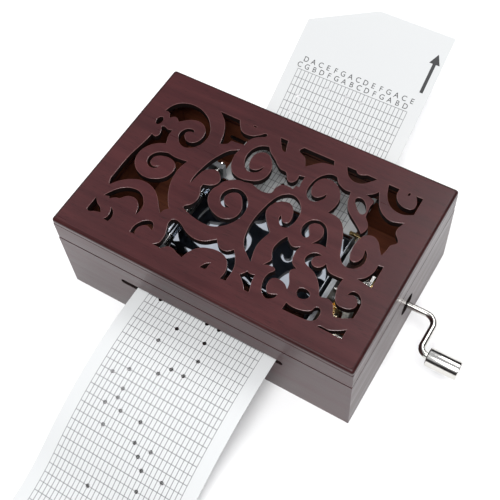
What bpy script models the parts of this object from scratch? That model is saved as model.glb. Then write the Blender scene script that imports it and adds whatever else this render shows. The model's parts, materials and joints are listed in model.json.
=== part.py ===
"""Hand-crank paper-strip music box in a mahogany case: 30-note movement, pierced lid, bent crank and punched card.

The origin is the middle of the case's underside, +X points to the crank, +Y is the way the card feeds, +Z is up.
All sizes are in metres.
"""

import math

import bmesh
import bpy
from mathutils import Matrix, Vector

# Case
CASE_LENGTH = 0.1452
CASE_WIDTH = 0.0968
CASE_HEIGHT = 0.0524
SEAM_HEIGHT = 0.0377
WALL = 0.0050
PANEL = 0.0030
FLOOR = 0.0040
GAP = 0.0003
CARD_SLOT_HEIGHT = 0.0032
CRANK_HOLE_RADIUS = 0.0053

# Card strip
CARD_WIDTH = 0.0700
CARD_SLOT_SPARE = 0.0120
CARD_SLOT_WIDTH = CARD_WIDTH + CARD_SLOT_SPARE
CARD_THICKNESS = 0.0003
CARD_MIDDLE_X = 0.0027
CARD_HEIGHT = 0.0262
CARD_TIP_LENGTH = 0.0797
CARD_TIP_SLOPE = math.radians(28.3)
CARD_TIP_BEND = 0.0100
CARD_FLAT_BEHIND = 0.0040
CARD_FLAT_IN_FRONT = 0.0060
CARD_DROOP_RADIUS = 0.1430
CARD_LANDING_RADIUS = 0.0700
CARD_TAIL = 0.0200

# Movement frame: an open U of cast metal
FRAME_FRONT = -0.0310
FRAME_BACK = 0.0240
FRAME_FOOT = 0.0027
FRAME_SIDE = 0.0022
FRAME_SIDE_CLEARANCE = 0.0032
LEFT_SIDE_TOP = 0.0325
RIGHT_SIDE_TOP = 0.0310

# Note works
NOTES = 30
NOTE_PITCH = 0.0020
STAR_RADIUS = 0.0080
STAR_ROOT = 0.0058
STAR_HUB = 0.0030
STAR_THICKNESS = 0.0010
STAR_TEETH = 6
STAR_AXLE_RADIUS = 0.0015
STAR_Y = 0.0013
COMB_THICKNESS = 0.0008
TOOTH_THICKNESS = 0.0005
COMB_GAP = 0.0004
TOOTH_WIDTH = 0.0015
COMB_ROOT_LENGTH = 0.0085
COMB_SCREWS = 3

# Feed works
ROLLER_RADIUS = 0.0070
ROLLER_CORE_RADIUS = 0.0030
ROLLER_JOURNAL_RADIUS = 0.0016
PRESSURE_RADIUS = 0.0022
PRESSURE_JOURNAL_RADIUS = 0.0009

# Gear train: the crank's pinion drives a double idler, and the idler drives the feed roller
MODULE = 0.0006
PINION_TEETH = 10
IDLER_TEETH = 30
IDLER_PINION_TEETH = 12
ROLLER_TEETH = 24
GEAR_THICKNESS = 0.0030
GEAR_PLATE = 0.0015
IDLER_PIN_RADIUS = 0.0015

# Crank
CRANK_Y = 0.0040
CRANK_HEIGHT = 0.0223
ROD_RADIUS = 0.0015
ROD_ELBOW_BEND = 0.0050
ROD_WRIST_BEND = 0.0036
CRANK_REACH = 0.0143
CRANK_THROW = 0.0186
CRANK_RISE = 0.0017
KNOB_RADIUS = 0.00415
KNOB_LENGTH = 0.0140
KNOB_STANDOFF = 0.0040

# Cover
COVER_LEFT_INSET = 0.0043
COVER_RIGHT_OVERHANG = 0.0023
COVER_FRONT = -0.0300
COVER_BACK = 0.0180
COVER_TOP = 0.0362
COVER_SHEET = 0.0010
COVER_SHOULDER = 0.0060
HINGE_ROD_RADIUS = 0.0018
HINGE_ROD_INSET = 0.0001
HINGE_ROD_HEIGHT = 0.0335

# Lid hinges
LID_HINGE_X = 0.0540
LEAF_LENGTH = 0.0200
LEAF_HEIGHT = 0.0090
LEAF_SHEET = 0.0009
KNUCKLE_RADIUS = 0.0019
HINGE_PIN_RADIUS = 0.0008

MM = 0.001
HALF_LENGTH = CASE_LENGTH / 2
HALF_WIDTH = CASE_WIDTH / 2
FRAME_BOTTOM = FLOOR + GAP
BED_TOP = FRAME_BOTTOM + FRAME_FOOT
CARD_LEFT = CARD_MIDDLE_X - CARD_WIDTH / 2
CARD_RIGHT = CARD_MIDDLE_X + CARD_WIDTH / 2
COVER_LEFT = CARD_LEFT + COVER_LEFT_INSET
COVER_RIGHT = CARD_RIGHT + COVER_RIGHT_OVERHANG
HINGE_ROD_X = CARD_LEFT + HINGE_ROD_INSET
FRAME_LEFT_INNER = CARD_LEFT - FRAME_SIDE_CLEARANCE
FRAME_RIGHT_INNER = CARD_RIGHT + FRAME_SIDE_CLEARANCE
FRAME_LEFT = FRAME_LEFT_INNER - FRAME_SIDE
FRAME_RIGHT = FRAME_RIGHT_INNER + FRAME_SIDE
CARD_UNDERSIDE = CARD_HEIGHT - CARD_THICKNESS / 2
CARD_TOPSIDE = CARD_HEIGHT + CARD_THICKNESS / 2
STAR_HEIGHT = CARD_UNDERSIDE - GAP - STAR_RADIUS
COMB_TOP = STAR_HEIGHT - STAR_RADIUS - COMB_GAP
ROLLER_HEIGHT = CARD_UNDERSIDE - GAP - ROLLER_RADIUS
PRESSURE_HEIGHT = CARD_TOPSIDE + GAP + PRESSURE_RADIUS
ADDENDUM = 0.80 * MODULE
DEDENDUM = 1.25 * MODULE

TO_X = Matrix.Rotation(math.radians(90), 4, "Y")
TO_Y = Matrix.Rotation(math.radians(-90), 4, "X")
SIDE_ON = Matrix(((0, 0, 1, 0), (1, 0, 0, 0), (0, 1, 0, 0), (0, 0, 0, 1)))
SHARP = True


def clear_scene():
    for obj in list(bpy.data.objects):
        bpy.data.objects.remove(obj, do_unlink=True)


def new_collection(name, hidden=False):
    collection = bpy.data.collections.new(name)
    bpy.context.scene.collection.children.link(collection)
    collection.hide_render = hidden
    return collection


def finish(name, colour, roughness, metallic):
    """A plain material of one colour."""
    material = bpy.data.materials.new(name)
    material.use_nodes = True
    shader = material.node_tree.nodes["Principled BSDF"]
    shader.inputs["Base Color"].default_value = (*colour, 1.0)
    shader.inputs["Roughness"].default_value = roughness
    shader.inputs["Metallic"].default_value = metallic
    return material


clear_scene()
PARTS = new_collection("hand_crank_music_box")
CUTTERS = new_collection("cutters", hidden=True)

MAHOGANY = finish("mahogany_lacquer", (0.095, 0.028, 0.026), 0.32, 0.0)
NICKEL = finish("nickel_plate", (0.80, 0.79, 0.76), 0.16, 1.0)
CHROME = finish("mirror_steel", (0.86, 0.88, 0.92), 0.05, 1.0)
CASTING = finish("zinc_casting", (0.50, 0.51, 0.52), 0.45, 1.0)
STEEL = finish("blued_comb_steel", (0.42, 0.43, 0.45), 0.30, 1.0)
BRASS = finish("brass", (0.72, 0.52, 0.22), 0.28, 1.0)
NYLON = finish("white_nylon", (0.82, 0.81, 0.76), 0.45, 0.0)
RUBBER = finish("black_rubber", (0.03, 0.03, 0.03), 0.75, 0.0)
CARD = finish("strip_card", (0.78, 0.79, 0.80), 0.70, 0.0)


def place(name, mesh, material, cutter=False):
    """Puts a mesh in the scene as a piece, or as a hidden helper that cuts or joins one."""
    obj = bpy.data.objects.new(name, mesh)
    if cutter:
        CUTTERS.objects.link(obj)
        obj.hide_render = True
        obj.display_type = "WIRE"
    else:
        PARTS.objects.link(obj)
        mesh.materials.append(material)
    return obj


def mesh_of(name, builder):
    """A mesh filled by a function that works on a bmesh."""
    work = bmesh.new()
    builder(work)
    mesh = bpy.data.meshes.new(name)
    work.to_mesh(mesh)
    work.free()
    return mesh


def box(name, low, high, material=None):
    low, high = Vector(low), Vector(high)
    size = high - low
    shape = Matrix.Translation((low + high) / 2) @ Matrix.Diagonal((*size, 1.0))
    mesh = mesh_of(name, lambda work: bmesh.ops.create_cube(work, size=1.0, matrix=shape))
    return place(name, mesh, material, cutter=material is None)


def rod(name, start, end, radius, material=None, sides=20):
    """A round bar between two points."""
    start, end = Vector(start), Vector(end)
    along = end - start
    turn = along.to_track_quat("Z", "Y").to_matrix().to_4x4()
    shape = Matrix.Translation((start + end) / 2) @ turn

    def build(work):
        bmesh.ops.create_cone(
            work, cap_ends=True, segments=sides, radius1=radius, radius2=radius, depth=along.length, matrix=shape
        )

    mesh = mesh_of(name, build)
    if material is not None:
        mesh.shade_smooth()
        mesh.set_sharp_from_angle(angle=math.radians(35))
    return place(name, mesh, material, cutter=material is None)


def turned(name, profile, origin, material, along=TO_X, sides=20):
    """A turned piece: (distance along, radius) points down its outer side, closed where both ends meet the axis."""
    mesh = bpy.data.meshes.new(name)
    points = [(radius, 0.0, distance) for distance, radius in profile]
    closed = profile[0][1] > 0.0
    edges = [(i, i + 1) for i in range(len(points) - 1)]
    if closed:
        edges.append((len(points) - 1, 0))
    mesh.from_pydata(points, edges, [])
    obj = place(name, mesh, material)
    obj.matrix_world = Matrix.Translation(origin) @ along
    screw = obj.modifiers.new("Turn", "SCREW")
    screw.axis = "Z"
    screw.angle = math.tau
    screw.steps = sides
    screw.render_steps = sides
    screw.use_merge_vertices = True
    screw.merge_threshold = 0.00001
    screw.use_smooth_shade = False
    return obj


def flat(name, loops, thickness, frame, material=None, resolution=2):
    """A flat sheet from closed outlines, of which those inside another are holes.

    Each outline is a list of (x, y) or (x, y, SHARP). A spline runs smoothly through the plain points, and
    corners at the sharp ones. The sheet lies in the XY plane of frame, half its thickness to each side.
    """
    if len(loops) == 1 and all(len(point) == 3 for point in loops[0]):
        return prism(name, loops[0], thickness, frame, material)
    curve = bpy.data.curves.new(name, "CURVE")
    curve.dimensions = "2D"
    curve.fill_mode = "BOTH"
    curve.extrude = thickness / 2
    curve.resolution_u = resolution
    for loop in loops:
        straight = all(len(point) == 3 for point in loop)
        if straight:
            spline = curve.splines.new("POLY")
            spline.points.add(len(loop) - 1)
            for target, point in zip(spline.points, loop):
                target.co = (point[0], point[1], 0.0, 1.0)
        else:
            spline = curve.splines.new("BEZIER")
            spline.bezier_points.add(len(loop) - 1)
            for target, point in zip(spline.bezier_points, loop):
                target.co = (point[0], point[1], 0.0)
                kind = "VECTOR" if len(point) == 3 else "AUTO"
                target.handle_left_type = kind
                target.handle_right_type = kind
        spline.use_cyclic_u = True
    drawn = bpy.data.objects.new(name + "_outline", curve)
    CUTTERS.objects.link(drawn)
    bpy.context.view_layer.update()
    graph = bpy.context.evaluated_depsgraph_get()
    mesh = bpy.data.meshes.new_from_object(drawn.evaluated_get(graph))
    bpy.data.objects.remove(drawn, do_unlink=True)
    work = bmesh.new()
    work.from_mesh(mesh)
    bmesh.ops.remove_doubles(work, verts=work.verts, dist=0.000002)
    bmesh.ops.recalc_face_normals(work, faces=work.faces)
    work.to_mesh(mesh)
    work.free()
    mesh.transform(frame)
    mesh.name = name
    mesh.materials.clear()
    return place(name, mesh, material, cutter=material is None)


def prism(name, outline, thickness, frame, material=None):
    """A straight-sided outline given a thickness, half of it to each side of frame's XY plane."""

    def build(work):
        rings = [[work.verts.new((p[0], p[1], z)) for p in outline] for z in (-thickness / 2, thickness / 2)]
        for i in range(len(outline)):
            j = (i + 1) % len(outline)
            work.faces.new((rings[0][i], rings[0][j], rings[1][j], rings[1][i]))
        work.faces.new(rings[0][::-1])
        work.faces.new(rings[1])
        bmesh.ops.triangulate(work, faces=[face for face in work.faces if len(face.verts) > 4])
        bmesh.ops.recalc_face_normals(work, faces=work.faces)

    mesh = mesh_of(name, build)
    mesh.transform(frame)
    return place(name, mesh, material, cutter=material is None)


def rectangle(x0, y0, x1, y1):
    return [(x0, y0, SHARP), (x1, y0, SHARP), (x1, y1, SHARP), (x0, y1, SHARP)]


def circle(x, y, radius, sides=20, phase=0.0):
    turns = [phase + math.tau * i / sides for i in range(sides)]
    return [(x + radius * math.cos(t), y + radius * math.sin(t), SHARP) for t in turns]


def boolean(obj, other, operation, solver):
    modifier = obj.modifiers.new(operation.title() + "_" + other.name, "BOOLEAN")
    modifier.operation = operation
    modifier.object = other
    modifier.solver = solver


def cut(obj, *cutters, solver="EXACT"):
    for cutter in cutters:
        boolean(obj, cutter, "DIFFERENCE", solver)


def join(obj, *pieces):
    """The exact solver loses bodies where gear teeth or the cover's cheeks meet, so unions use the other one."""
    for piece in pieces:
        boolean(obj, piece, "UNION", "MANIFOLD")


def pivot(name, point):
    """An empty on a joint's axis, which its moving pieces hang from."""
    empty = bpy.data.objects.new(name, None)
    empty.location = point
    PARTS.objects.link(empty)
    return empty


def hang(empty, *pieces):
    for piece in pieces:
        piece.parent = empty
        piece.matrix_parent_inverse = Matrix.Translation(empty.location).inverted()


# The pierced scrollwork of the lid, in millimetres from the middle of the lid
SCROLLWORK = {
    "left_crescent": [
        (-62.6, 25.0, SHARP), (-60.9, 29.6), (-57.5, 32.7), (-51.5, 34.0), (-45.3, 32.3), (-40.3, 28.3),
        (-37.4, 23.6), (-36.9, 19.0), (-38.4, 14.7), (-41.5, 12.0), (-44.5, 11.6), (-47.6, 13.6), (-49.3, 17.2),
        (-48.3, 20.3), (-46.2, 21.6), (-44.2, 21.4), (-43.9, 20.5, SHARP), (-45.7, 20.2), (-47.1, 18.6),
        (-46.2, 16.3), (-43.2, 14.8), (-40.5, 15.9), (-39.1, 18.5), (-39.0, 21.8), (-40.6, 24.9), (-43.8, 26.9),
        (-47.3, 26.8), (-50.8, 24.9), (-53.5, 22.4, SHARP), (-54.8, 23.8), (-56.1, 24.2), (-57.3, 23.7),
        (-58.4, 22.4, SHARP), (-59.8, 24.7, SHARP), (-61.2, 25.3),
    ],
    "left_eye": [
        (-61.6, 21.4), (-60.4, 20.4), (-60.2, 18.3), (-60.8, 16.9), (-61.8, 16.6), (-62.8, 18.0), (-62.9, 20.2),
    ],
    "left_scroll": [
        (-58.9, 16.6, SHARP), (-57.6, 17.1), (-55.2, 16.4), (-53.2, 17.0, SHARP), (-53.3, 14.5), (-52.4, 11.3),
        (-51.6, 9.4, SHARP), (-55.0, 7.6), (-58.2, 4.0), (-59.5, -0.5), (-58.9, -4.5), (-56.5, -7.9),
        (-53.0, -10.0), (-49.5, -10.6), (-45.3, -9.5), (-42.0, -7.0), (-40.4, -3.5), (-40.4, -0.5), (-41.8, 1.8),
        (-45.0, 3.2), (-48.5, 2.9), (-51.3, 1.4), (-52.3, -0.8), (-51.8, -2.8), (-50.0, -3.9), (-48.5, -3.6),
        (-47.3, -2.8, SHARP), (-48.0, -4.2), (-50.0, -5.0), (-52.3, -4.3), (-53.9, -2.0), (-53.8, 0.9),
        (-52.3, 3.2), (-50.0, 4.6), (-47.5, 5.3, SHARP), (-44.0, 4.8), (-40.5, 5.0), (-37.6, 5.4, SHARP),
        (-38.6, 2.0), (-38.8, -2.0), (-38.3, -6.0), (-37.0, -10.0), (-34.8, -14.4), (-32.5, -17.7),
        (-30.8, -19.6, SHARP), (-32.0, -20.5), (-32.9, -23.3, SHARP), (-36.0, -19.8), (-40.0, -15.6),
        (-44.0, -13.3), (-48.5, -12.7), (-53.0, -13.8), (-57.0, -16.5), (-59.5, -19.3), (-60.9, -21.5, SHARP),
        (-62.3, -18.6, SHARP), (-62.4, -10.0), (-62.2, -4.0), (-61.3, 2.0), (-60.6, 7.0), (-60.3, 11.0, SHARP),
        (-59.2, 10.4), (-57.9, 10.6), (-57.2, 12.0), (-57.7, 14.5),
    ],
    "left_arch": [
        (-59.6, -27.3, SHARP), (-57.4, -23.2), (-54.0, -19.7), (-50.0, -18.1), (-46.5, -18.4), (-43.2, -20.9),
        (-41.2, -24.5), (-41.2, -27.0), (-41.8, -28.8, SHARP), (-42.8, -25.5), (-45.3, -22.6), (-48.6, -22.0),
        (-51.0, -23.2), (-52.5, -25.2), (-54.5, -25.8), (-56.5, -27.6, SHARP), (-57.3, -26.6, SHARP),
    ],
    "left_foot": [
        (-62.0, -29.8, SHARP), (-59.8, -31.9), (-57.2, -33.4), (-55.6, -35.3, SHARP), (-58.5, -36.1),
        (-61.0, -37.2), (-62.0, -36.3, SHARP),
    ],
    "left_sickle": [
        (-53.1, -30.8, SHARP), (-50.9, -32.6), (-49.9, -35.2), (-50.2, -37.5, SHARP), (-52.7, -37.4, SHARP),
        (-51.8, -35.6), (-52.0, -33.4),
    ],
    "small_arch": [
        (-38.8, -37.4, SHARP), (-39.0, -34.5), (-37.9, -31.4), (-35.8, -29.2), (-33.5, -28.5), (-31.8, -29.9),
        (-30.9, -32.2, SHARP), (-32.3, -31.7), (-34.4, -31.3), (-36.4, -32.6), (-37.3, -34.8),
        (-36.5, -37.3, SHARP),
    ],
    "back_fin": [
        (-39.6, 36.7, SHARP), (-29.4, 36.6, SHARP), (-27.6, 33.9), (-25.2, 31.5), (-22.0, 30.9), (-19.0, 31.8),
        (-16.4, 34.1), (-14.9, 35.5), (-13.8, 34.5), (-15.6, 33.0), (-18.3, 31.0), (-19.8, 28.4),
        (-20.2, 25.3, SHARP), (-23.6, 24.9), (-26.7, 24.7, SHARP), (-27.4, 22.3), (-30.2, 20.8, SHARP),
        (-30.9, 24.0), (-32.4, 28.2), (-35.0, 32.6),
    ],
    "back_nick": [(-22.3, 37.0, SHARP), (-20.2, 37.0, SHARP), (-21.2, 36.2)],
    "back_wedge": [
        (-8.0, 36.7, SHARP), (-4.3, 36.7, SHARP), (-3.3, 33.7), (-2.2, 30.8, SHARP), (-3.4, 30.7), (-5.6, 33.0),
    ],
    "back_crown": [
        (4.0, 36.7, SHARP), (19.0, 36.7, SHARP), (20.0, 34.3, SHARP), (17.5, 34.0), (14.5, 33.0), (11.5, 30.3),
        (9.3, 27.9, SHARP), (8.4, 29.5), (6.8, 32.1), (4.5, 33.2), (2.8, 34.4),
    ],
    "back_moon": [
        (25.3, 36.7, SHARP), (29.6, 36.7, SHARP), (30.8, 35.6), (32.2, 35.3), (33.8, 36.0), (35.0, 36.7, SHARP),
        (39.7, 36.7, SHARP), (37.8, 34.3), (35.2, 31.7), (32.0, 30.9), (29.2, 31.7), (26.8, 34.0),
    ],
    "corner_curl": [
        (45.3, 36.7, SHARP), (50.3, 36.7, SHARP), (50.3, 34.3), (51.5, 31.6), (53.9, 29.6), (57.3, 29.0),
        (59.7, 30.0), (60.0, 32.6), (59.2, 35.0), (57.9, 36.7, SHARP), (61.2, 36.7, SHARP), (61.2, 27.6, SHARP),
        (58.0, 25.9), (54.5, 25.6), (51.0, 26.8), (48.5, 29.2), (46.6, 32.6),
    ],
    "corner_eye": [(55.2, 37.0), (54.5, 36.1), (54.9, 35.3), (55.6, 36.2)],
    "middle_scrolls": [
        (-20.7, 21.8, SHARP), (-21.1, 20.2), (-21.0, 17.5), (-20.3, 14.5), (-19.3, 12.3), (-17.6, 10.4),
        (-15.0, 9.1), (-12.0, 8.8), (-8.5, 9.6), (-5.2, 11.2), (-3.2, 13.8), (-2.6, 17.3), (-3.3, 20.8),
        (-4.9, 23.4), (-6.9, 25.3), (-8.8, 26.1), (-10.9, 25.8), (-12.9, 24.1), (-13.7, 21.3), (-13.2, 18.0),
        (-12.0, 15.9), (-10.1, 15.4), (-8.0, 16.5), (-6.4, 19.2, SHARP), (-6.6, 16.8), (-8.1, 14.8), (-10.4, 13.9),
        (-12.6, 14.2), (-14.8, 16.5), (-16.1, 19.5), (-16.2, 23.0), (-15.0, 26.5), (-12.8, 28.7),
        (-10.0, 29.8, SHARP), (-8.2, 27.7), (-6.2, 26.2), (-3.8, 24.6), (-1.5, 22.7), (1.0, 21.4), (3.0, 21.4),
        (4.1, 20.6), (5.0, 19.0), (6.2, 17.8), (7.6, 17.4), (8.9, 18.3), (9.6, 20.2), (9.3, 22.4, SHARP),
        (11.9, 22.9, SHARP), (11.9, 20.0), (12.3, 17.2, SHARP), (10.7, 16.9, SHARP), (10.4, 14.9, SHARP),
        (7.2, 15.2), (4.6, 14.0), (3.6, 11.4), (3.3, 8.8), (1.3, 7.7), (-2.0, 7.6), (-4.8, 8.3), (-6.6, 8.7),
        (-9.5, 8.0), (-12.5, 7.7), (-14.8, 6.6), (-16.8, 5.0), (-18.2, 3.0), (-18.7, 0.9), (-19.6, -0.8),
        (-20.0, -3.5), (-19.4, -6.3), (-17.8, -8.9), (-15.2, -11.0), (-12.0, -12.4), (-9.0, -12.8),
        (-6.0, -11.9), (-4.0, -9.9), (-3.2, -7.2), (-3.6, -4.2), (-5.0, -1.6), (-6.7, 0.6), (-8.8, 1.6),
        (-11.0, 0.9), (-12.7, -1.2), (-13.0, -3.4), (-11.8, -5.3), (-10.2, -6.1), (-8.4, -6.4, SHARP),
        (-10.2, -7.2), (-12.4, -6.6), (-14.2, -4.6), (-14.9, -1.8), (-13.9, 1.0), (-11.6, 3.0), (-8.9, 3.5),
        (-6.0, 2.6), (-3.8, 0.8), (-2.0, -2.4), (-1.5, -5.8), (-1.9, -9.2), (-3.3, -12.3), (-5.7, -15.4),
        (-8.7, -17.6), (-12.0, -18.6), (-16.0, -18.6), (-20.5, -17.8), (-23.8, -16.9), (-25.8, -16.1, SHARP),
        (-25.8, -14.9, SHARP), (-24.2, -13.5), (-22.9, -11.0), (-22.8, -8.5), (-23.6, -5.8), (-24.8, -3.6),
        (-24.8, -1.7, SHARP), (-22.5, -0.9), (-20.4, 0.4), (-19.4, 2.4), (-19.7, 4.3), (-21.3, 6.3),
        (-23.6, 7.6), (-26.0, 6.9), (-28.2, 5.3), (-29.3, 2.0), (-29.8, -1.5), (-30.2, -3.9, SHARP),
        (-30.6, 0.0), (-30.0, 5.0), (-28.8, 10.5), (-26.9, 15.2), (-24.4, 19.3), (-22.5, 20.7),
    ],
    "front_wave": [
        (-26.9, -24.2), (-25.3, -22.9), (-23.5, -23.0), (-21.0, -24.1), (-18.2, -25.7), (-14.5, -26.8),
        (-11.0, -26.8), (-8.0, -25.6), (-6.0, -23.9), (-4.6, -22.7, SHARP), (-3.3, -24.2), (-1.2, -25.7),
        (1.2, -25.9), (3.0, -25.0), (4.2, -23.5, SHARP), (5.7, -25.2), (7.4, -27.8), (8.7, -31.0), (9.0, -34.5),
        (8.9, -37.7, SHARP), (6.3, -37.9, SHARP), (6.7, -35.0), (6.0, -32.0), (4.2, -29.2), (1.5, -27.6),
        (-1.8, -27.2), (-5.2, -27.9), (-8.5, -29.4), (-10.8, -31.9), (-11.9, -34.0), (-12.8, -37.2, SHARP),
        (-15.5, -36.4), (-19.8, -35.2), (-21.6, -36.2), (-22.9, -37.8, SHARP), (-26.9, -37.6, SHARP),
        (-25.1, -36.0), (-24.7, -33.5), (-25.3, -30.0), (-26.5, -27.0),
    ],
    "front_pip": [
        (-3.7, -37.5, SHARP), (-3.1, -35.9), (-2.0, -34.5), (-0.7, -33.6, SHARP), (-1.0, -35.4), (-1.2, -37.2),
        (-2.4, -37.3),
    ],
    "tall_lens": [
        (4.7, 1.5), (5.5, 5.0), (6.9, 8.4), (9.2, 11.0), (11.9, 12.1), (14.7, 11.4), (17.3, 9.3), (19.1, 6.2),
        (19.6, 2.5), (19.1, -1.2), (17.8, -3.6), (15.7, -4.0), (13.7, -2.6), (12.6, -0.6), (12.8, 0.8, SHARP),
        (13.9, -0.9), (15.6, -2.0), (17.1, -1.4), (17.6, 0.4), (17.0, 3.2), (15.5, 6.2), (13.4, 7.7),
        (10.8, 7.6), (8.2, 6.0), (6.5, 3.2), (6.0, 0.2), (6.9, -2.2), (8.8, -4.7), (10.9, -7.0), (12.8, -8.9),
        (12.6, -10.6), (11.9, -13.0), (11.4, -17.0), (12.0, -21.0), (13.3, -25.3, SHARP), (10.2, -22.9),
        (7.4, -20.5), (5.4, -17.2), (4.3, -13.2), (3.7, -8.5), (3.9, -3.8),
    ],
    "leaf_and_hook": [
        (20.3, -7.1, SHARP), (19.1, -9.6), (18.3, -12.2), (18.1, -15.0), (19.2, -18.0), (20.3, -20.0),
        (19.6, -21.8), (18.4, -23.8, SHARP), (20.5, -22.9), (22.6, -22.8), (24.0, -23.6), (22.8, -25.6),
        (22.1, -28.0), (22.4, -31.0), (23.5, -33.8), (25.3, -35.8), (27.4, -36.7), (28.8, -36.0), (30.2, -34.5),
        (30.4, -32.9, SHARP), (28.6, -33.9), (26.6, -34.2), (25.0, -32.6), (24.3, -30.0), (24.6, -27.9),
        (25.9, -26.8), (28.5, -26.6), (30.8, -27.4), (32.5, -28.9, SHARP), (32.2, -27.0), (31.2, -24.8),
        (30.0, -22.8), (29.4, -20.5), (31.2, -18.8, SHARP), (29.3, -18.0), (27.7, -16.2), (27.1, -13.8),
        (26.9, -11.5), (27.6, -9.0, SHARP), (26.3, -9.9), (24.5, -10.4), (22.7, -9.5), (21.2, -8.2),
    ],
    "right_curl": [
        (23.5, 1.0), (24.6, 3.9), (27.0, 5.7), (29.6, 5.9), (32.0, 4.8), (33.9, 2.4), (35.3, -0.4),
        (36.8, -4.2, SHARP), (34.0, -4.0), (30.7, -5.4, SHARP), (32.3, -2.9), (33.0, -0.2), (32.4, 2.3),
        (30.6, 4.1), (28.1, 4.4), (26.2, 3.1), (25.7, 1.4), (26.7, -0.2), (27.9, -2.0), (27.5, -3.7),
        (25.8, -4.0), (24.2, -2.4), (23.5, -0.6),
    ],
    "right_hook": [
        (37.3, -8.3, SHARP), (35.2, -8.3), (33.0, -9.6), (31.9, -12.0), (32.3, -14.0), (34.0, -15.2),
        (37.0, -16.3), (39.5, -17.7), (41.8, -20.0), (43.8, -22.8), (45.2, -25.4, SHARP), (46.5, -25.3),
        (48.8, -24.8), (50.5, -25.1), (52.0, -26.4), (53.2, -28.8), (54.5, -30.8, SHARP), (57.5, -29.9),
        (61.6, -27.6, SHARP), (61.7, -23.0), (61.2, -20.0), (59.5, -17.8), (57.3, -16.9), (55.6, -17.6),
        (54.9, -19.7, SHARP), (56.5, -18.7), (58.3, -19.0), (59.9, -20.8), (60.0, -23.2), (58.2, -25.0),
        (55.5, -25.6), (53.1, -25.3), (51.3, -23.2), (50.2, -20.2), (49.7, -17.5), (49.9, -13.9, SHARP),
        (46.5, -14.2), (43.3, -13.8), (41.7, -12.4), (40.7, -11.0, SHARP), (39.8, -13.0), (38.2, -14.3),
        (36.3, -14.3), (34.9, -13.0), (34.7, -11.0), (35.8, -9.5),
    ],
    "right_oval": [
        (36.4, -26.8), (38.0, -25.5), (40.2, -25.5), (41.9, -27.0), (41.4, -29.0), (39.5, -30.0), (37.6, -29.6),
    ],
    "front_smile": [
        (35.2, -37.7, SHARP), (35.3, -34.3, SHARP), (37.5, -34.9), (41.0, -34.7), (44.0, -33.9), (45.9, -32.6),
        (46.2, -31.0), (47.5, -30.1), (49.0, -31.0), (49.4, -33.5), (49.2, -35.2), (47.8, -36.6), (45.0, -37.3),
        (41.5, -37.6),
    ],
    "front_star": [
        (12.4, -32.4, SHARP), (13.8, -30.8), (14.4, -29.6, SHARP), (16.0, -30.1), (18.0, -29.7, SHARP),
        (18.2, -32.0), (19.0, -35.0), (19.9, -37.7, SHARP), (17.7, -37.7, SHARP), (16.2, -35.8), (14.2, -33.9),
    ],
    "corner_blade": [
        (51.0, -37.7, SHARP), (52.0, -36.9), (55.5, -36.9), (59.0, -35.3), (61.8, -33.4, SHARP),
        (61.8, -37.7, SHARP),
    ],
    "right_fin": [
        (59.2, -1.5, SHARP), (61.5, -1.1, SHARP), (61.7, -12.2, SHARP), (58.5, -11.6), (54.9, -11.3, SHARP),
        (57.3, -9.3), (58.8, -6.5), (59.4, -3.6),
    ],
    "right_scrolls": [
        (43.3, 31.2, SHARP), (42.2, 29.5), (39.3, 27.3, SHARP), (41.6, 26.7), (43.6, 26.0), (43.4, 23.0),
        (43.9, 19.5), (44.2, 17.2), (45.8, 15.4), (47.2, 13.2), (47.2, 11.0), (46.3, 8.6, SHARP), (44.4, 10.3),
        (41.5, 12.5), (38.5, 14.6), (36.0, 16.8), (34.6, 19.0), (33.6, 21.8), (32.8, 25.5, SHARP), (30.4, 25.2),
        (27.9, 26.0), (25.8, 27.3), (24.2, 29.5, SHARP), (21.6, 29.7), (18.8, 27.8), (16.8, 24.6), (15.9, 20.5),
        (16.1, 17.2), (17.4, 14.6), (19.4, 13.4), (21.7, 13.6), (23.6, 15.4), (24.7, 17.5), (24.4, 19.6, SHARP),
        (23.4, 17.5), (21.4, 15.9), (19.5, 15.9), (18.0, 17.4), (17.1, 20.5), (17.6, 23.6), (19.3, 26.0),
        (21.9, 27.0), (24.6, 26.5), (27.0, 25.2), (28.9, 23.2), (30.3, 20.6), (30.8, 17.6), (30.4, 14.5),
        (29.4, 11.4, SHARP), (32.2, 11.6), (35.2, 10.8), (37.8, 8.6), (39.9, 5.0), (41.4, 1.2), (42.8, -2.6),
        (44.5, -5.9), (47.0, -8.0), (50.0, -8.2), (52.4, -6.6), (53.8, -3.6), (53.6, -0.4), (52.3, 1.9),
        (51.3, 2.6, SHARP), (52.0, 0.2), (51.9, -2.4), (50.6, -4.5), (48.8, -4.8), (47.2, -3.0), (46.5, 0.4),
        (46.5, 4.0), (47.3, 7.4), (49.2, 9.6), (51.9, 10.0), (54.4, 8.6), (56.4, 5.8), (58.3, 3.5, SHARP),
        (59.0, 7.0), (59.3, 9.6), (61.4, 12.0), (60.6, 13.6), (58.9, 15.4), (58.3, 17.8), (58.9, 20.3),
        (59.7, 22.0, SHARP), (57.0, 20.8), (54.0, 20.2), (51.0, 21.1), (48.2, 23.0), (46.0, 25.8), (44.7, 28.6),
    ],
    "leaf_slit": [
        (36.3, 23.0), (37.3, 24.4), (39.2, 24.4), (41.2, 22.8), (42.8, 20.4), (43.0, 18.3), (41.9, 17.4),
        (40.0, 18.3), (37.8, 20.6),
    ],
}
SCROLL_FIELD_LENGTH = 145.2
SCROLL_FIELD_WIDTH = 96.8


def scroll_loops():
    """The holes in metres, spread to the lid's length and width."""
    along = CASE_LENGTH / SCROLL_FIELD_LENGTH
    across = CASE_WIDTH / SCROLL_FIELD_WIDTH
    return [[(p[0] * along, p[1] * across, *p[2:]) for p in loop] for loop in SCROLLWORK.values()]


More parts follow.
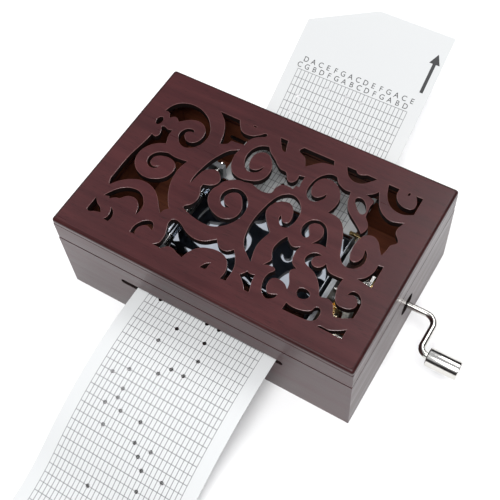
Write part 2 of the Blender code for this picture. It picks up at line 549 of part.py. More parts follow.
def build_lid():
    outline = rectangle(-HALF_LENGTH, -HALF_WIDTH, HALF_LENGTH, HALF_WIDTH)
    panel_middle = CASE_HEIGHT - PANEL / 2
    panel = flat("lid_panel", [outline, *scroll_loops()], PANEL, Matrix.Translation((0, 0, panel_middle)), MAHOGANY)

    low, high = SEAM_HEIGHT + GAP / 2, CASE_HEIGHT - PANEL - GAP
    inside = rectangle(-HALF_LENGTH + WALL, -HALF_WIDTH + WALL, HALF_LENGTH - WALL, HALF_WIDTH - WALL)
    at = Matrix.Translation((0, 0, (low + high) / 2))
    return panel, flat("lid_frame", [outline, inside], high - low, at, MAHOGANY)


def slot_cutter(name, y):
    """The long round-ended hole that the card passes through."""
    end = CARD_SLOT_HEIGHT / 2
    reach = CARD_SLOT_WIDTH / 2 - end
    left = [(-reach - end * math.sin(t), end * math.cos(t), SHARP) for t in (math.pi * i / 6 for i in range(7))]
    right = [(-x, -y_, sharp) for x, y_, sharp in left]
    upright = Matrix.Translation((0, y, CARD_HEIGHT)) @ Matrix.Rotation(math.radians(90), 4, "X")
    return flat(name, [left + right], WALL * 2, upright)


def build_case():
    outline = rectangle(-HALF_LENGTH, -HALF_WIDTH, HALF_LENGTH, HALF_WIDTH)
    inside = rectangle(-HALF_LENGTH + WALL, -HALF_WIDTH + WALL, HALF_LENGTH - WALL, HALF_WIDTH - WALL)
    height = SEAM_HEIGHT - GAP / 2
    frame = flat("case_frame", [outline, inside], height, Matrix.Translation((0, 0, height / 2)), MAHOGANY)
    cut(
        frame,
        slot_cutter("front_card_slot", -HALF_WIDTH + WALL / 2),
        slot_cutter("back_card_slot", HALF_WIDTH - WALL / 2),
        rod(
            "crank_hole",
            (HALF_LENGTH - 2 * WALL, CRANK_Y, CRANK_HEIGHT),
            (HALF_LENGTH + WALL, CRANK_Y, CRANK_HEIGHT),
            CRANK_HOLE_RADIUS,
        ),
    )
    edge = WALL + GAP
    floor = box(
        "case_floor",
        (-HALF_LENGTH + edge, -HALF_WIDTH + edge, 0),
        (HALF_LENGTH - edge, HALF_WIDTH - edge, FLOOR),
        MAHOGANY,
    )
    for index, (x, y) in enumerate(movement_screw_places()):
        name = f"movement_screw_hole_{index}"
        bore = rod(name, (x, y, -FLOOR), (x, y, 2 * FLOOR), SCREW_SHANK + GAP, sides=24)
        sink = rod(name + "_head", (x, y, -FLOOR), (x, y, SCREW_HEAD_DEPTH + GAP * 2), SCREW_HEAD + GAP, sides=24)
        cut(floor, bore, sink, solver="MANIFOLD")
    return frame, floor


SCREW_SHANK = 0.0013
SCREW_HEAD = 0.0028
SCREW_HEAD_DEPTH = 0.0016
SCREW_INSET = 0.0055


def movement_screw_places():
    xs = (FRAME_LEFT_INNER + SCREW_INSET, FRAME_RIGHT_INNER - SCREW_INSET)
    ys = (FRAME_FRONT + SCREW_INSET, FRAME_BACK - SCREW_INSET)
    return [(x, y) for x in xs for y in ys]


def build_movement_screws():
    screws = []
    tip = BED_TOP - GAP
    for index, (x, y) in enumerate(movement_screw_places()):
        profile = [
            (tip, 0.0), (tip, SCREW_SHANK), (GAP + SCREW_HEAD_DEPTH, SCREW_SHANK), (GAP + SCREW_HEAD_DEPTH, SCREW_HEAD),
            (GAP, SCREW_HEAD), (GAP, 0.0),
        ]
        screws.append(
            turned(f"movement_screw_{index + 1}", profile, (x, y, 0), NICKEL, along=Matrix.Identity(4), sides=12)
        )
    return screws


def build_hinge(side, x):
    """A brass butt hinge on the back: the lid leaf carries the middle knuckle, the case leaf the outer two."""
    axis_y = HALF_WIDTH + GAP + KNUCKLE_RADIUS
    axis_z = SEAM_HEIGHT
    third = LEAF_LENGTH / 3
    face = HALF_WIDTH + GAP
    knuckles = {
        "lid": [(x - third / 2 + GAP, x + third / 2 - GAP)],
        "case": [(x - LEAF_LENGTH / 2, x - third / 2 - GAP), (x + third / 2 + GAP, x + LEAF_LENGTH / 2)],
    }
    pieces = []
    upright = Matrix.Translation((0, face + LEAF_SHEET / 2, 0)) @ Matrix.Rotation(math.radians(90), 4, "X")
    for owner, up in (("lid", 1), ("case", -1)):
        near, far = axis_z + up * (KNUCKLE_RADIUS + GAP), axis_z + up * (KNUCKLE_RADIUS + LEAF_HEIGHT)
        outline = [(x - LEAF_LENGTH / 2, near, SHARP)]
        for start, end in knuckles[owner]:
            outline += [(start, near, SHARP), (start, axis_z, SHARP), (end, axis_z, SHARP), (end, near, SHARP)]
        outline += [(x + LEAF_LENGTH / 2, near, SHARP), (x + LEAF_LENGTH / 2, far, SHARP), (x - LEAF_LENGTH / 2, far, SHARP)]
        outline = [p for i, p in enumerate(outline) if p != outline[i - 1]]
        leaf = flat(f"{side}_hinge_{owner}_leaf", [outline], LEAF_SHEET, upright, BRASS)
        for index, (start, end) in enumerate(knuckles[owner]):
            name = f"{side}_{owner}_knuckle_{index}"
            trim = GAP / 6
            join(leaf, rod(name, (start + trim, axis_y - trim, axis_z), (end - trim, axis_y - trim, axis_z), KNUCKLE_RADIUS, sides=16))
        bore = HINGE_PIN_RADIUS + GAP
        reach = LEAF_LENGTH
        cut(leaf, rod(f"{side}_{owner}_bore", (x - reach, axis_y, axis_z), (x + reach, axis_y, axis_z), bore, sides=12))
        pieces.append(leaf)
    ends = (x - LEAF_LENGTH / 2 - GAP, axis_y, axis_z), (x + LEAF_LENGTH / 2 + GAP, axis_y, axis_z)
    pin = rod(f"{side}_hinge_pin", *ends, HINGE_PIN_RADIUS, BRASS, sides=12)
    return pieces[0], pieces[1], pin


def card_profile():
    """The card's middle line in (y, z): flat through the case, drooping to the table in front, rising behind."""
    half = CASE_WIDTH / 2
    level = CARD_THICKNESS / 2 + GAP
    drop = CARD_HEIGHT - level
    turn = math.acos(1 - drop / (CARD_DROOP_RADIUS + CARD_LANDING_RADIUS))
    start = -half - CARD_FLAT_IN_FRONT
    line = []
    droop_steps, landing_steps, bend_steps = 10, 7, 4
    inflect = start - CARD_DROOP_RADIUS * math.sin(turn), CARD_HEIGHT - CARD_DROOP_RADIUS * (1 - math.cos(turn))
    landing = inflect[0] - CARD_LANDING_RADIUS * math.sin(turn)
    line.append((landing - CARD_TAIL, level))
    for step in range(landing_steps):
        angle = turn * step / landing_steps
        line.append((landing + CARD_LANDING_RADIUS * math.sin(angle), level + CARD_LANDING_RADIUS * (1 - math.cos(angle))))
    for step in range(droop_steps + 1):
        angle = turn * (1 - step / droop_steps)
        line.append((start - CARD_DROOP_RADIUS * math.sin(angle), CARD_HEIGHT - CARD_DROOP_RADIUS * (1 - math.cos(angle))))
    bend_start = half + CARD_FLAT_BEHIND
    for step in range(bend_steps + 1):
        angle = CARD_TIP_SLOPE * step / bend_steps
        line.append((bend_start + CARD_TIP_BEND * math.sin(angle), CARD_HEIGHT + CARD_TIP_BEND * (1 - math.cos(angle))))
    straight = CARD_TIP_LENGTH - CARD_FLAT_BEHIND - CARD_TIP_BEND * CARD_TIP_SLOPE
    y, z = line[-1]
    line.append((y + straight * math.cos(CARD_TIP_SLOPE), z + straight * math.sin(CARD_TIP_SLOPE)))
    return line


CARD_LEFT_CORNER = 0.0155
CARD_APEX_X = -0.0010


def build_card():
    """The punched strip, blank here: a bent sheet whose leading end has two cut corners."""
    line = card_profile()
    upper, lower = [], []
    for index, (y, z) in enumerate(line):
        before, after = line[max(index - 1, 0)], line[min(index + 1, len(line) - 1)]
        along = Vector((after[0] - before[0], after[1] - before[1])).normalized()
        across = Vector((-along.y, along.x)) * CARD_THICKNESS / 2
        upper.append((y + across.x, z + across.y, SHARP))
        lower.append((y - across.x, z - across.y, SHARP))
    at = Matrix.Translation((CARD_MIDDLE_X, 0, 0)) @ SIDE_ON
    card = flat("paper_strip", [upper + lower[::-1]], CARD_WIDTH, at, CARD)
    tip_y, tip_z = line[-1]
    slope = math.cos(CARD_TIP_SLOPE)
    reach = 0.01
    corner = [
        (CARD_LEFT - reach, tip_y - CARD_LEFT_CORNER * slope - reach * slope * 0.45, SHARP),
        (CARD_APEX_X, tip_y, SHARP),
        (CARD_APEX_X, tip_y + reach, SHARP),
        (CARD_LEFT - reach, tip_y + reach, SHARP),
    ]
    cut(card, flat("tip_corner", [corner], 2 * CASE_HEIGHT, Matrix.Translation((0, 0, tip_z))))
    return card


def tab_cutter(name, y, height):
    """A notch through both sides of the movement frame for a table's tabs."""
    return box(
        name,
        (FRAME_LEFT - FRAME_SIDE, y - TABLE_TAB / 2 - GAP, height - TABLE_SHEET - GAP),
        (FRAME_RIGHT + FRAME_SIDE, y + TABLE_TAB / 2 + GAP, height + GAP),
    )


TABLE_SHEET = 0.0010
TABLE_TAB = 0.0030
TABLE_TOP = CARD_UNDERSIDE - 2 * GAP
FRONT_TABLE = (FRAME_FRONT, -0.0240)
BACK_TABLE = (0.0115, 0.0225)


def build_table(name, front, back):
    """A sheet-metal shelf that holds the card level, hung by its tabs in the frame's sides."""
    middle = (front + back) / 2
    half = TABLE_TAB / 2
    bottom = TABLE_TOP - TABLE_SHEET
    table = box(name, (FRAME_LEFT_INNER + GAP, front, bottom), (FRAME_RIGHT_INNER - GAP, back, TABLE_TOP), NICKEL)
    thinner = GAP / 6
    tabs = box(
        name + "_tabs",
        (FRAME_LEFT + GAP, middle - half, bottom + thinner),
        (FRAME_RIGHT - GAP, middle + half, TABLE_TOP - thinner),
    )
    join(table, tabs)
    return table


def gear_places():
    """Centres in (y, z) of the crank pinion, the idler and the feed roller, each pair at its meshing distance."""
    crank = Vector((CRANK_Y, CRANK_HEIGHT))
    first = MODULE * (PINION_TEETH + IDLER_TEETH) / 2
    second = MODULE * (IDLER_PINION_TEETH + ROLLER_TEETH) / 2
    idler_height = FLOOR + MODULE * IDLER_TEETH / 2 + ADDENDUM + IDLER_FLOOR_CLEARANCE
    drop = CRANK_HEIGHT - idler_height
    idler = crank + Vector((-math.sqrt(first**2 - drop**2), -drop))
    rise = ROLLER_HEIGHT - idler.y
    roller = idler + Vector((-math.sqrt(second**2 - rise**2), rise))
    return crank, idler, roller


IDLER_FLOOR_CLEARANCE = 0.0007
CRANK_AT, IDLER_AT, ROLLER_AT = gear_places()
ROLLER_GEAR_X = FRAME_RIGHT + 0.0020
PINION_X = ROLLER_GEAR_X + GEAR_THICKNESS + 0.0020
GEAR_PLATE_X = PINION_X + GEAR_THICKNESS + 0.0025
LUG = 0.0025
COMB_PAD_BACK = FRAME_BACK
COMB_PAD_FRONT = FRAME_BACK - COMB_ROOT_LENGTH
COMB_PAD_TOP = COMB_TOP - COMB_THICKNESS - GAP
PILLAR_RADIUS = 0.0016
PILLAR_PLACES = ((-0.0190, 0.0100), (0.0095, 0.0110), (-0.0075, 0.0286))


def build_movement_frame():
    """One casting: the bed, two sides, the comb's pad and the two lugs of the cover's hinge rod."""
    walls = [
        (FRAME_LEFT, FRAME_BOTTOM, SHARP), (FRAME_RIGHT, FRAME_BOTTOM, SHARP), (FRAME_RIGHT, RIGHT_SIDE_TOP, SHARP),
        (FRAME_RIGHT_INNER, RIGHT_SIDE_TOP, SHARP), (FRAME_RIGHT_INNER, BED_TOP, SHARP),
        (FRAME_LEFT_INNER, BED_TOP, SHARP), (FRAME_LEFT_INNER, LEFT_SIDE_TOP, SHARP),
        (FRAME_LEFT, LEFT_SIDE_TOP, SHARP),
    ]
    upright = Matrix.Translation((0, (FRAME_FRONT + FRAME_BACK) / 2, 0)) @ Matrix.Rotation(math.radians(90), 4, "X")
    frame = flat("movement_frame", [walls], FRAME_BACK - FRAME_FRONT, upright, CASTING)
    sink = 0.0005
    pad = box(
        "comb_pad",
        (CARD_MIDDLE_X - NOTES * NOTE_PITCH / 2, COMB_PAD_FRONT, BED_TOP - sink),
        (CARD_MIDDLE_X + NOTES * NOTE_PITCH / 2, COMB_PAD_BACK - sink, COMB_PAD_TOP),
    )
    join(frame, pad)
    top = HINGE_ROD_HEIGHT + HINGE_ROD_RADIUS + GAP + 0.0012
    for name, y0, y1 in (
        ("front_lug", FRAME_FRONT + sink, FRAME_FRONT + LUG),
        ("back_lug", COVER_BACK + 2 * GAP, COVER_BACK + 2 * GAP + LUG),
    ):
        lug = box(
            name,
            (FRAME_LEFT + sink, y0, LEFT_SIDE_TOP - 0.0035),
            (HINGE_ROD_X + HINGE_ROD_RADIUS + GAP + 0.0012, y1, top),
        )
        join(frame, lug)
    across = FRAME_LEFT - FRAME_SIDE, FRAME_RIGHT + FRAME_SIDE
    right = FRAME_RIGHT_INNER - FRAME_SIDE, FRAME_RIGHT + FRAME_SIDE
    cut(
        frame,
        rod("star_axle_bore", (across[0], STAR_Y, STAR_HEIGHT), (across[1], STAR_Y, STAR_HEIGHT), STAR_AXLE_RADIUS + GAP, sides=12),
        rod("roller_bore", (across[0], *ROLLER_AT), (across[1], *ROLLER_AT), ROLLER_JOURNAL_RADIUS + GAP, sides=16),
        rod("crank_bore", (right[0], *CRANK_AT), (right[1], *CRANK_AT), CRANK_JOURNAL + GAP, sides=16),
        rod("idler_bore", (right[0], *IDLER_AT), (right[1], *IDLER_AT), IDLER_PIN_RADIUS + GAP, sides=12),
        rod("hinge_rod_bore", (HINGE_ROD_X, FRAME_FRONT - LUG, HINGE_ROD_HEIGHT), (HINGE_ROD_X, FRAME_BACK, HINGE_ROD_HEIGHT), HINGE_ROD_RADIUS + GAP, sides=16),
        tab_cutter("front_table_notch", sum(FRONT_TABLE) / 2, TABLE_TOP),
        tab_cutter("back_table_notch", sum(BACK_TABLE) / 2, TABLE_TOP),
    )
    for index, (x, y) in enumerate(movement_screw_places()):
        cut(frame, rod(f"bed_screw_hole_{index}", (x, y, 0), (x, y, BED_TOP + 0.001), SCREW_SHANK + GAP, sides=12))
    for index, x in enumerate(comb_screw_places()):
        place_ = (x, comb_screw_y())
        cut(frame, rod(f"comb_pad_hole_{index}", (*place_, FRAME_BOTTOM + 0.0008), (*place_, COMB_TOP + 0.002), COMB_SCREW_SHANK + GAP, sides=12))
    return frame


CRANK_JOURNAL = 0.0017
CRANK_NECK = 0.0020
COMB_SCREW_SHANK = 0.0010
COMB_SCREW_HEAD = 0.0021
COMB_SCREW_HEAD_DEPTH = 0.0012


def comb_screw_places():
    span = NOTES * NOTE_PITCH * 0.8
    return [CARD_MIDDLE_X - span / 2 + span * i / (COMB_SCREWS - 1) for i in range(COMB_SCREWS)]


def comb_screw_y():
    return (COMB_PAD_FRONT + COMB_PAD_BACK) / 2


def note_x(index):
    return CARD_MIDDLE_X + (index - (NOTES - 1) / 2) * NOTE_PITCH


def build_comb():
    """A steel plate with thirty thinner teeth on its front; their tips lie under the star wheels."""
    tip = STAR_Y - 0.0006
    root, back = COMB_PAD_FRONT + 0.0004, COMB_PAD_BACK - 0.0008
    half = TOOTH_WIDTH / 2
    middle = COMB_TOP - COMB_THICKNESS / 2
    comb = box("comb", (note_x(0) - half, root, COMB_TOP - COMB_THICKNESS), (note_x(NOTES - 1) + half, back, COMB_TOP), STEEL)
    for index in range(NOTES):
        x = note_x(index)
        low, high = middle - TOOTH_THICKNESS / 2, middle + TOOTH_THICKNESS / 2
        join(comb, box(f"comb_tooth_{index}", (x - half, tip, low), (x + half, root + 0.0005, high)))
    for index, x in enumerate(comb_screw_places()):
        place_ = (x, comb_screw_y())
        cut(comb, rod(f"comb_hole_{index}", (*place_, BED_TOP), (*place_, COMB_TOP + 0.001), COMB_SCREW_SHANK + GAP, sides=12))
    screws = []
    for index, x in enumerate(comb_screw_places()):
        seat = COMB_TOP + GAP
        end = FRAME_BOTTOM + 0.0015
        profile = [
            (seat + COMB_SCREW_HEAD_DEPTH, 0.0), (seat + COMB_SCREW_HEAD_DEPTH, COMB_SCREW_HEAD), (seat, COMB_SCREW_HEAD),
            (seat, COMB_SCREW_SHANK), (end, COMB_SCREW_SHANK), (end, 0.0),
        ]
        screws.append(
            turned(f"comb_screw_{index + 1}", profile, (x, comb_screw_y(), 0), NICKEL, along=Matrix.Identity(4), sides=12)
        )
    return comb, screws


def build_star_wheels():
    """The stack of note wheels: one tube whose section steps between the hub and each wheel's toothed rim."""
    corners = STAR_TEETH * 2
    hub = [(STAR_HUB, math.tau * i / corners) for i in range(corners)]
    rim = [(STAR_ROOT if i % 2 else STAR_RADIUS, math.tau * i / corners) for i in range(corners)]
    stations = [(note_x(0) - NOTE_PITCH / 2, hub)]
    for index in range(NOTES):
        x = note_x(index)
        phase = 0.0
        stations += [
            (x - STAR_THICKNESS / 2, hub), (x - STAR_THICKNESS / 2, rim),
            (x + STAR_THICKNESS / 2, rim), (x + STAR_THICKNESS / 2, hub),
        ]
    stations.append((note_x(NOTES - 1) + NOTE_PITCH / 2, hub))

    def build(work):
        rings = []
        for x, section in stations:
            rings.append([
                work.verts.new((x, STAR_Y + r * math.sin(t), STAR_HEIGHT - r * math.cos(t))) for r, t in section
            ])
        for first, second in zip(rings, rings[1:]):
            for i in range(corners):
                j = (i + 1) % corners
                work.faces.new((first[i], first[j], second[j], second[i]))
        work.faces.new(rings[0])
        work.faces.new(rings[-1][::-1])
        bmesh.ops.recalc_face_normals(work, faces=work.faces)

    stack = place("star_wheels", mesh_of("star_wheels", build), NICKEL)
    reach = NOTES * NOTE_PITCH
    cut(
        stack,
        rod(
            "star_bore",
            (CARD_MIDDLE_X - reach, STAR_Y, STAR_HEIGHT),
            (CARD_MIDDLE_X + reach, STAR_Y, STAR_HEIGHT),
            STAR_AXLE_RADIUS + GAP,
            sides=12,
        ),
    )
    axle = rod(
        "star_wheel_axle",
        (FRAME_LEFT, STAR_Y, STAR_HEIGHT),
        (FRAME_RIGHT, STAR_Y, STAR_HEIGHT),
        STAR_AXLE_RADIUS,
        STEEL,
        sides=12,
    )
    return stack, axle


def gear_loop(teeth, phase):
    """A spur gear's outline in its own plane: each tooth is a trapezium, thinner at the tip than at the root."""
    pitch = MODULE * teeth / 2
    root, tip = pitch - DEDENDUM, pitch + ADDENDUM
    step = math.tau / teeth
    loop = []
    for index in range(teeth):
        middle = phase + index * step
        for radius, share in ((root, -0.26), (tip, -0.11), (tip, 0.11), (root, 0.26)):
            angle = middle + share * step
            loop.append((radius * math.cos(angle), radius * math.sin(angle), SHARP))
    return loop


def gear(name, teeth, centre, x, thickness, phase, material=None):
    """A gear whose local X and Y lie along the row's Y and Z, with its left face at x."""
    at = Matrix.Translation((x + thickness / 2, centre.x, centre.y)) @ SIDE_ON
    return flat(name, [gear_loop(teeth, phase)], thickness, at, material)


def mesh_phase(centre, other, teeth, gap_there):
    """Turns a gear so that a tooth, or a gap, points at the wheel it meshes with."""
    towards = other - centre
    return math.atan2(towards.y, towards.x) + (math.pi / teeth if gap_there else 0.0)


def build_gear_train():
    journal_end = FRAME_RIGHT_INNER + GAP
    sleeve = ROD_RADIUS + GAP + 0.0010
    sleeve_end = ROD_SOCKET_END
    pinion_phase = mesh_phase(CRANK_AT, IDLER_AT, PINION_TEETH, False)
    pinion = gear("crank_pinion_shaft", PINION_TEETH, CRANK_AT, PINION_X, GEAR_THICKNESS, pinion_phase, NICKEL)
    gear_end = PINION_X + GEAR_THICKNESS
    inside = PINION_X + GEAR_THICKNESS / 2
    join(
        pinion,
        rod("crank_journal", (journal_end, *CRANK_AT), (inside, *CRANK_AT), CRANK_JOURNAL, sides=18),
        rod("crank_neck", (inside + GAP, *CRANK_AT), (gear_end + 3 * GAP, *CRANK_AT), CRANK_NECK, sides=18),
        rod("crank_sleeve", (gear_end + GAP, *CRANK_AT), (sleeve_end, *CRANK_AT), sleeve, sides=20),
    )
    socket = (gear_end + 4 * GAP, *CRANK_AT), (sleeve_end + 0.001, *CRANK_AT)
    cut(pinion, rod("rod_socket", *socket, ROD_RADIUS + GAP, sides=16), solver="MANIFOLD")

    small_phase = mesh_phase(IDLER_AT, ROLLER_AT, IDLER_PINION_TEETH, False)
    large_phase = mesh_phase(IDLER_AT, CRANK_AT, IDLER_TEETH, True)
    idler = gear("idler_gear", IDLER_TEETH, IDLER_AT, PINION_X, GEAR_THICKNESS, large_phase, NYLON)
    step_ = 0.0006
    small_length = PINION_X - ROLLER_GEAR_X + step_
    join(idler, gear("idler_small_teeth", IDLER_PINION_TEETH, IDLER_AT, ROLLER_GEAR_X, small_length, small_phase))
    bore = rod("idler_gear_bore", (FRAME_RIGHT, *IDLER_AT), (GEAR_PLATE_X, *IDLER_AT), IDLER_PIN_RADIUS + GAP, sides=12)
    cut(idler, bore, solver="MANIFOLD")
    idler_pin = rod(
        "idler_pin", (FRAME_RIGHT_INNER, *IDLER_AT), (GEAR_PLATE_X + GEAR_PLATE, *IDLER_AT), IDLER_PIN_RADIUS, STEEL, sides=12
    )

    roller_phase = mesh_phase(ROLLER_AT, IDLER_AT, ROLLER_TEETH, True)
    roller_gear = gear("roller_gear", ROLLER_TEETH, ROLLER_AT, ROLLER_GEAR_X, GEAR_THICKNESS, roller_phase, BRASS)
    cut(
        roller_gear,
        rod("roller_gear_bore", (FRAME_RIGHT, *ROLLER_AT), (PINION_X, *ROLLER_AT), ROLLER_JOURNAL_RADIUS + GAP, sides=16),
    )
    return pinion, idler, idler_pin, roller_gear


ROD_SOCKET_END = HALF_LENGTH - WALL - 0.0050


def build_gear_plate():
    """The outer bearing plate: it carries the crank's bush and the idler pin, on three pillars."""
    outline = [
        (PILLAR_PLACES[0][0] - 0.0035, 0.0065, SHARP), (0.0130, 0.0065, SHARP), (0.0130, 0.0285, SHARP),
        (0.0040, 0.0325, SHARP), (-0.0110, 0.0325, SHARP), (PILLAR_PLACES[0][0] - 0.0035, 0.0150, SHARP),
    ]
    bush_outer = ROD_RADIUS + 0.0010 + 2 * GAP + 0.0012
    holes = [circle(CRANK_AT.x, CRANK_AT.y, bush_outer + GAP), circle(IDLER_AT.x, IDLER_AT.y, IDLER_PIN_RADIUS + GAP, sides=12)]
    holes += [circle(y, z, PILLAR_STUD + GAP, sides=12) for y, z in PILLAR_PLACES]
    at = Matrix.Translation((GEAR_PLATE_X + GEAR_PLATE / 2, 0, 0)) @ SIDE_ON
    plate = flat("gear_plate", [outline, *holes], GEAR_PLATE, at, NICKEL)
    inner = ROD_RADIUS + 0.0010 + 2 * GAP
    flange = GEAR_PLATE_X + GEAR_PLATE + GAP
    bush = turned(
        "crank_bush",
        [
            (flange + 0.0010, inner), (flange + 0.0010, bush_outer + 0.0010), (flange, bush_outer + 0.0010),
            (flange, bush_outer), (GEAR_PLATE_X, bush_outer), (GEAR_PLATE_X, inner),
        ],
        (0, *CRANK_AT),
        BRASS,
    )
    pillars = []
    for index, (y, z) in enumerate(PILLAR_PLACES):
        start, shoulder = FRAME_RIGHT + GAP, GEAR_PLATE_X - GAP
        profile = [
            (GEAR_PLATE_X + GEAR_PLATE + 0.0008, 0.0), (GEAR_PLATE_X + GEAR_PLATE + 0.0008, PILLAR_STUD),
            (shoulder, PILLAR_STUD), (shoulder, PILLAR_RADIUS), (start, PILLAR_RADIUS), (start, 0.0),
        ]
        pillars.append(turned(f"gear_plate_pillar_{index + 1}", profile, (0, y, z), NICKEL, sides=12))
    return plate, bush, pillars


PILLAR_STUD = 0.0009


def build_rollers():
    """The rubber-covered feed roller under the card and the pressure roller above it."""
    y, z = ROLLER_AT
    left, right = CARD_LEFT + 0.0010, CARD_RIGHT - 0.0010
    core = ROLLER_CORE_RADIUS
    shaft = turned(
        "feed_roller_shaft",
        [
            (ROLLER_GEAR_X + GEAR_THICKNESS + 0.0008, 0.0), (ROLLER_GEAR_X + GEAR_THICKNESS + 0.0008, ROLLER_JOURNAL_RADIUS),
            (right + 0.0015, ROLLER_JOURNAL_RADIUS), (right + 0.0015, core), (left - 0.0015, core),
            (left - 0.0015, ROLLER_JOURNAL_RADIUS), (FRAME_LEFT, ROLLER_JOURNAL_RADIUS), (FRAME_LEFT, 0.0),
        ],
        (0, y, z),
        NICKEL,
    )
    sleeve = turned(
        "feed_roller_sleeve",
        [(right, core + GAP), (right, ROLLER_RADIUS), (left, ROLLER_RADIUS), (left, core + GAP)],
        (0, y, z),
        RUBBER,
        sides=32,
    )
    inner_left, inner_right = COVER_LEFT + COVER_SHEET + GAP, COVER_RIGHT - COVER_SHEET - GAP
    pressure = turned(
        "pressure_roller",
        [
            (COVER_RIGHT, 0.0), (COVER_RIGHT, PRESSURE_JOURNAL_RADIUS), (inner_right, PRESSURE_JOURNAL_RADIUS),
            (inner_right, PRESSURE_RADIUS), (inner_left, PRESSURE_RADIUS), (inner_left, PRESSURE_JOURNAL_RADIUS),
            (COVER_LEFT, PRESSURE_JOURNAL_RADIUS), (COVER_LEFT, 0.0),
        ],
        (0, y, PRESSURE_HEIGHT),
        NICKEL,
    )
    return shaft, sleeve, pressure


def cover_arch():
    """The cover's section in (y, z): a sheet with a quarter-round shoulder at the front and the back."""
    foot = CARD_TOPSIDE + 0.0012
    outer, inner = [], []
    steps = 5
    for centre_y, start in ((COVER_FRONT + COVER_SHOULDER, math.pi), (COVER_BACK - COVER_SHOULDER, math.pi / 2)):
        for step in range(steps + 1):
            angle = start - math.pi / 2 * step / steps
            for loop, radius in ((outer, COVER_SHOULDER), (inner, COVER_SHOULDER - COVER_SHEET)):
                z = COVER_TOP - COVER_SHOULDER + radius * math.sin(angle)
                loop.append((centre_y + radius * math.cos(angle), z, SHARP))
    outer = [(COVER_FRONT, foot, SHARP), *outer, (COVER_BACK, foot, SHARP)]
    below = foot - COVER_SHOULDER
    inner = [(COVER_FRONT + COVER_SHEET, below, SHARP), *inner, (COVER_BACK - COVER_SHEET, below, SHARP)]
    return outer, inner


def build_cover():
    """The polished cover that presses the card down, with its hinge knuckles, its rod and its catch."""
    outer, inner = cover_arch()
    span = COVER_RIGHT - COVER_LEFT
    middle = (COVER_LEFT + COVER_RIGHT) / 2
    at = Matrix.Translation((middle, 0, 0)) @ SIDE_ON
    cover = flat("pressure_cover", [outer], span, at, CHROME)
    cut(cover, flat("cover_hollow", [inner], span - 2 * COVER_SHEET, at), solver="MANIFOLD")
    knuckle = HINGE_ROD_RADIUS + GAP + 0.0009
    for index, (start, end) in enumerate(((-0.0220, -0.0140), (0.0040, 0.0120))):
        name = f"cover_knuckle_{index}"
        arm = box(
            name + "_arm",
            (HINGE_ROD_X, start, HINGE_ROD_HEIGHT - 0.0006),
            (COVER_LEFT + COVER_SHEET / 2, end, HINGE_ROD_HEIGHT + 0.0006),
        )
        barrel = rod(name, (HINGE_ROD_X, start, HINGE_ROD_HEIGHT), (HINGE_ROD_X, end, HINGE_ROD_HEIGHT), knuckle, sides=16)
        join(cover, arm, barrel)
    bore = rod(
        "cover_hinge_bore",
        (HINGE_ROD_X, COVER_FRONT - 0.002, HINGE_ROD_HEIGHT),
        (HINGE_ROD_X, COVER_BACK + 0.002, HINGE_ROD_HEIGHT),
        HINGE_ROD_RADIUS + GAP,
        sides=16,
    )
    y = ROLLER_AT.x
    journal = rod(
        "pressure_bore",
        (COVER_LEFT - 0.002, y, PRESSURE_HEIGHT),
        (COVER_RIGHT + 0.002, y, PRESSURE_HEIGHT),
        PRESSURE_JOURNAL_RADIUS + GAP,
        sides=12,
    )
    cut(cover, bore, journal, solver="MANIFOLD")
    hinge_rod = turned(
        "cover_hinge_rod",
        [
            (FRAME_BACK - 0.0010, 0.0), (FRAME_BACK - 0.0010, HINGE_ROD_RADIUS), (FRAME_FRONT - GAP, HINGE_ROD_RADIUS),
            (FRAME_FRONT - GAP, HINGE_ROD_RADIUS + 0.0009), (FRAME_FRONT - 0.0035, HINGE_ROD_RADIUS + 0.0009),
            (FRAME_FRONT - 0.0035, 0.0),
        ],
        (HINGE_ROD_X, 0, HINGE_ROD_HEIGHT),
        NICKEL,
        along=TO_Y,
    )
    catch = box(
        "cover_catch",
        (COVER_RIGHT - 0.0035, COVER_BACK + 0.0006, CARD_TOPSIDE + 0.0012),
        (FRAME_RIGHT - 0.0004, COVER_BACK + 0.0020, RIGHT_SIDE_TOP + 0.0012),
        BRASS,
    )
    notch = box(
        "catch_notch",
        (COVER_RIGHT, COVER_BACK, CARD_TOPSIDE),
        (FRAME_RIGHT_INNER - GAP + 0.005, COVER_BACK + 0.003, RIGHT_SIDE_TOP + GAP),
    )
    cut(catch, notch)
    return cover, hinge_rod, catch


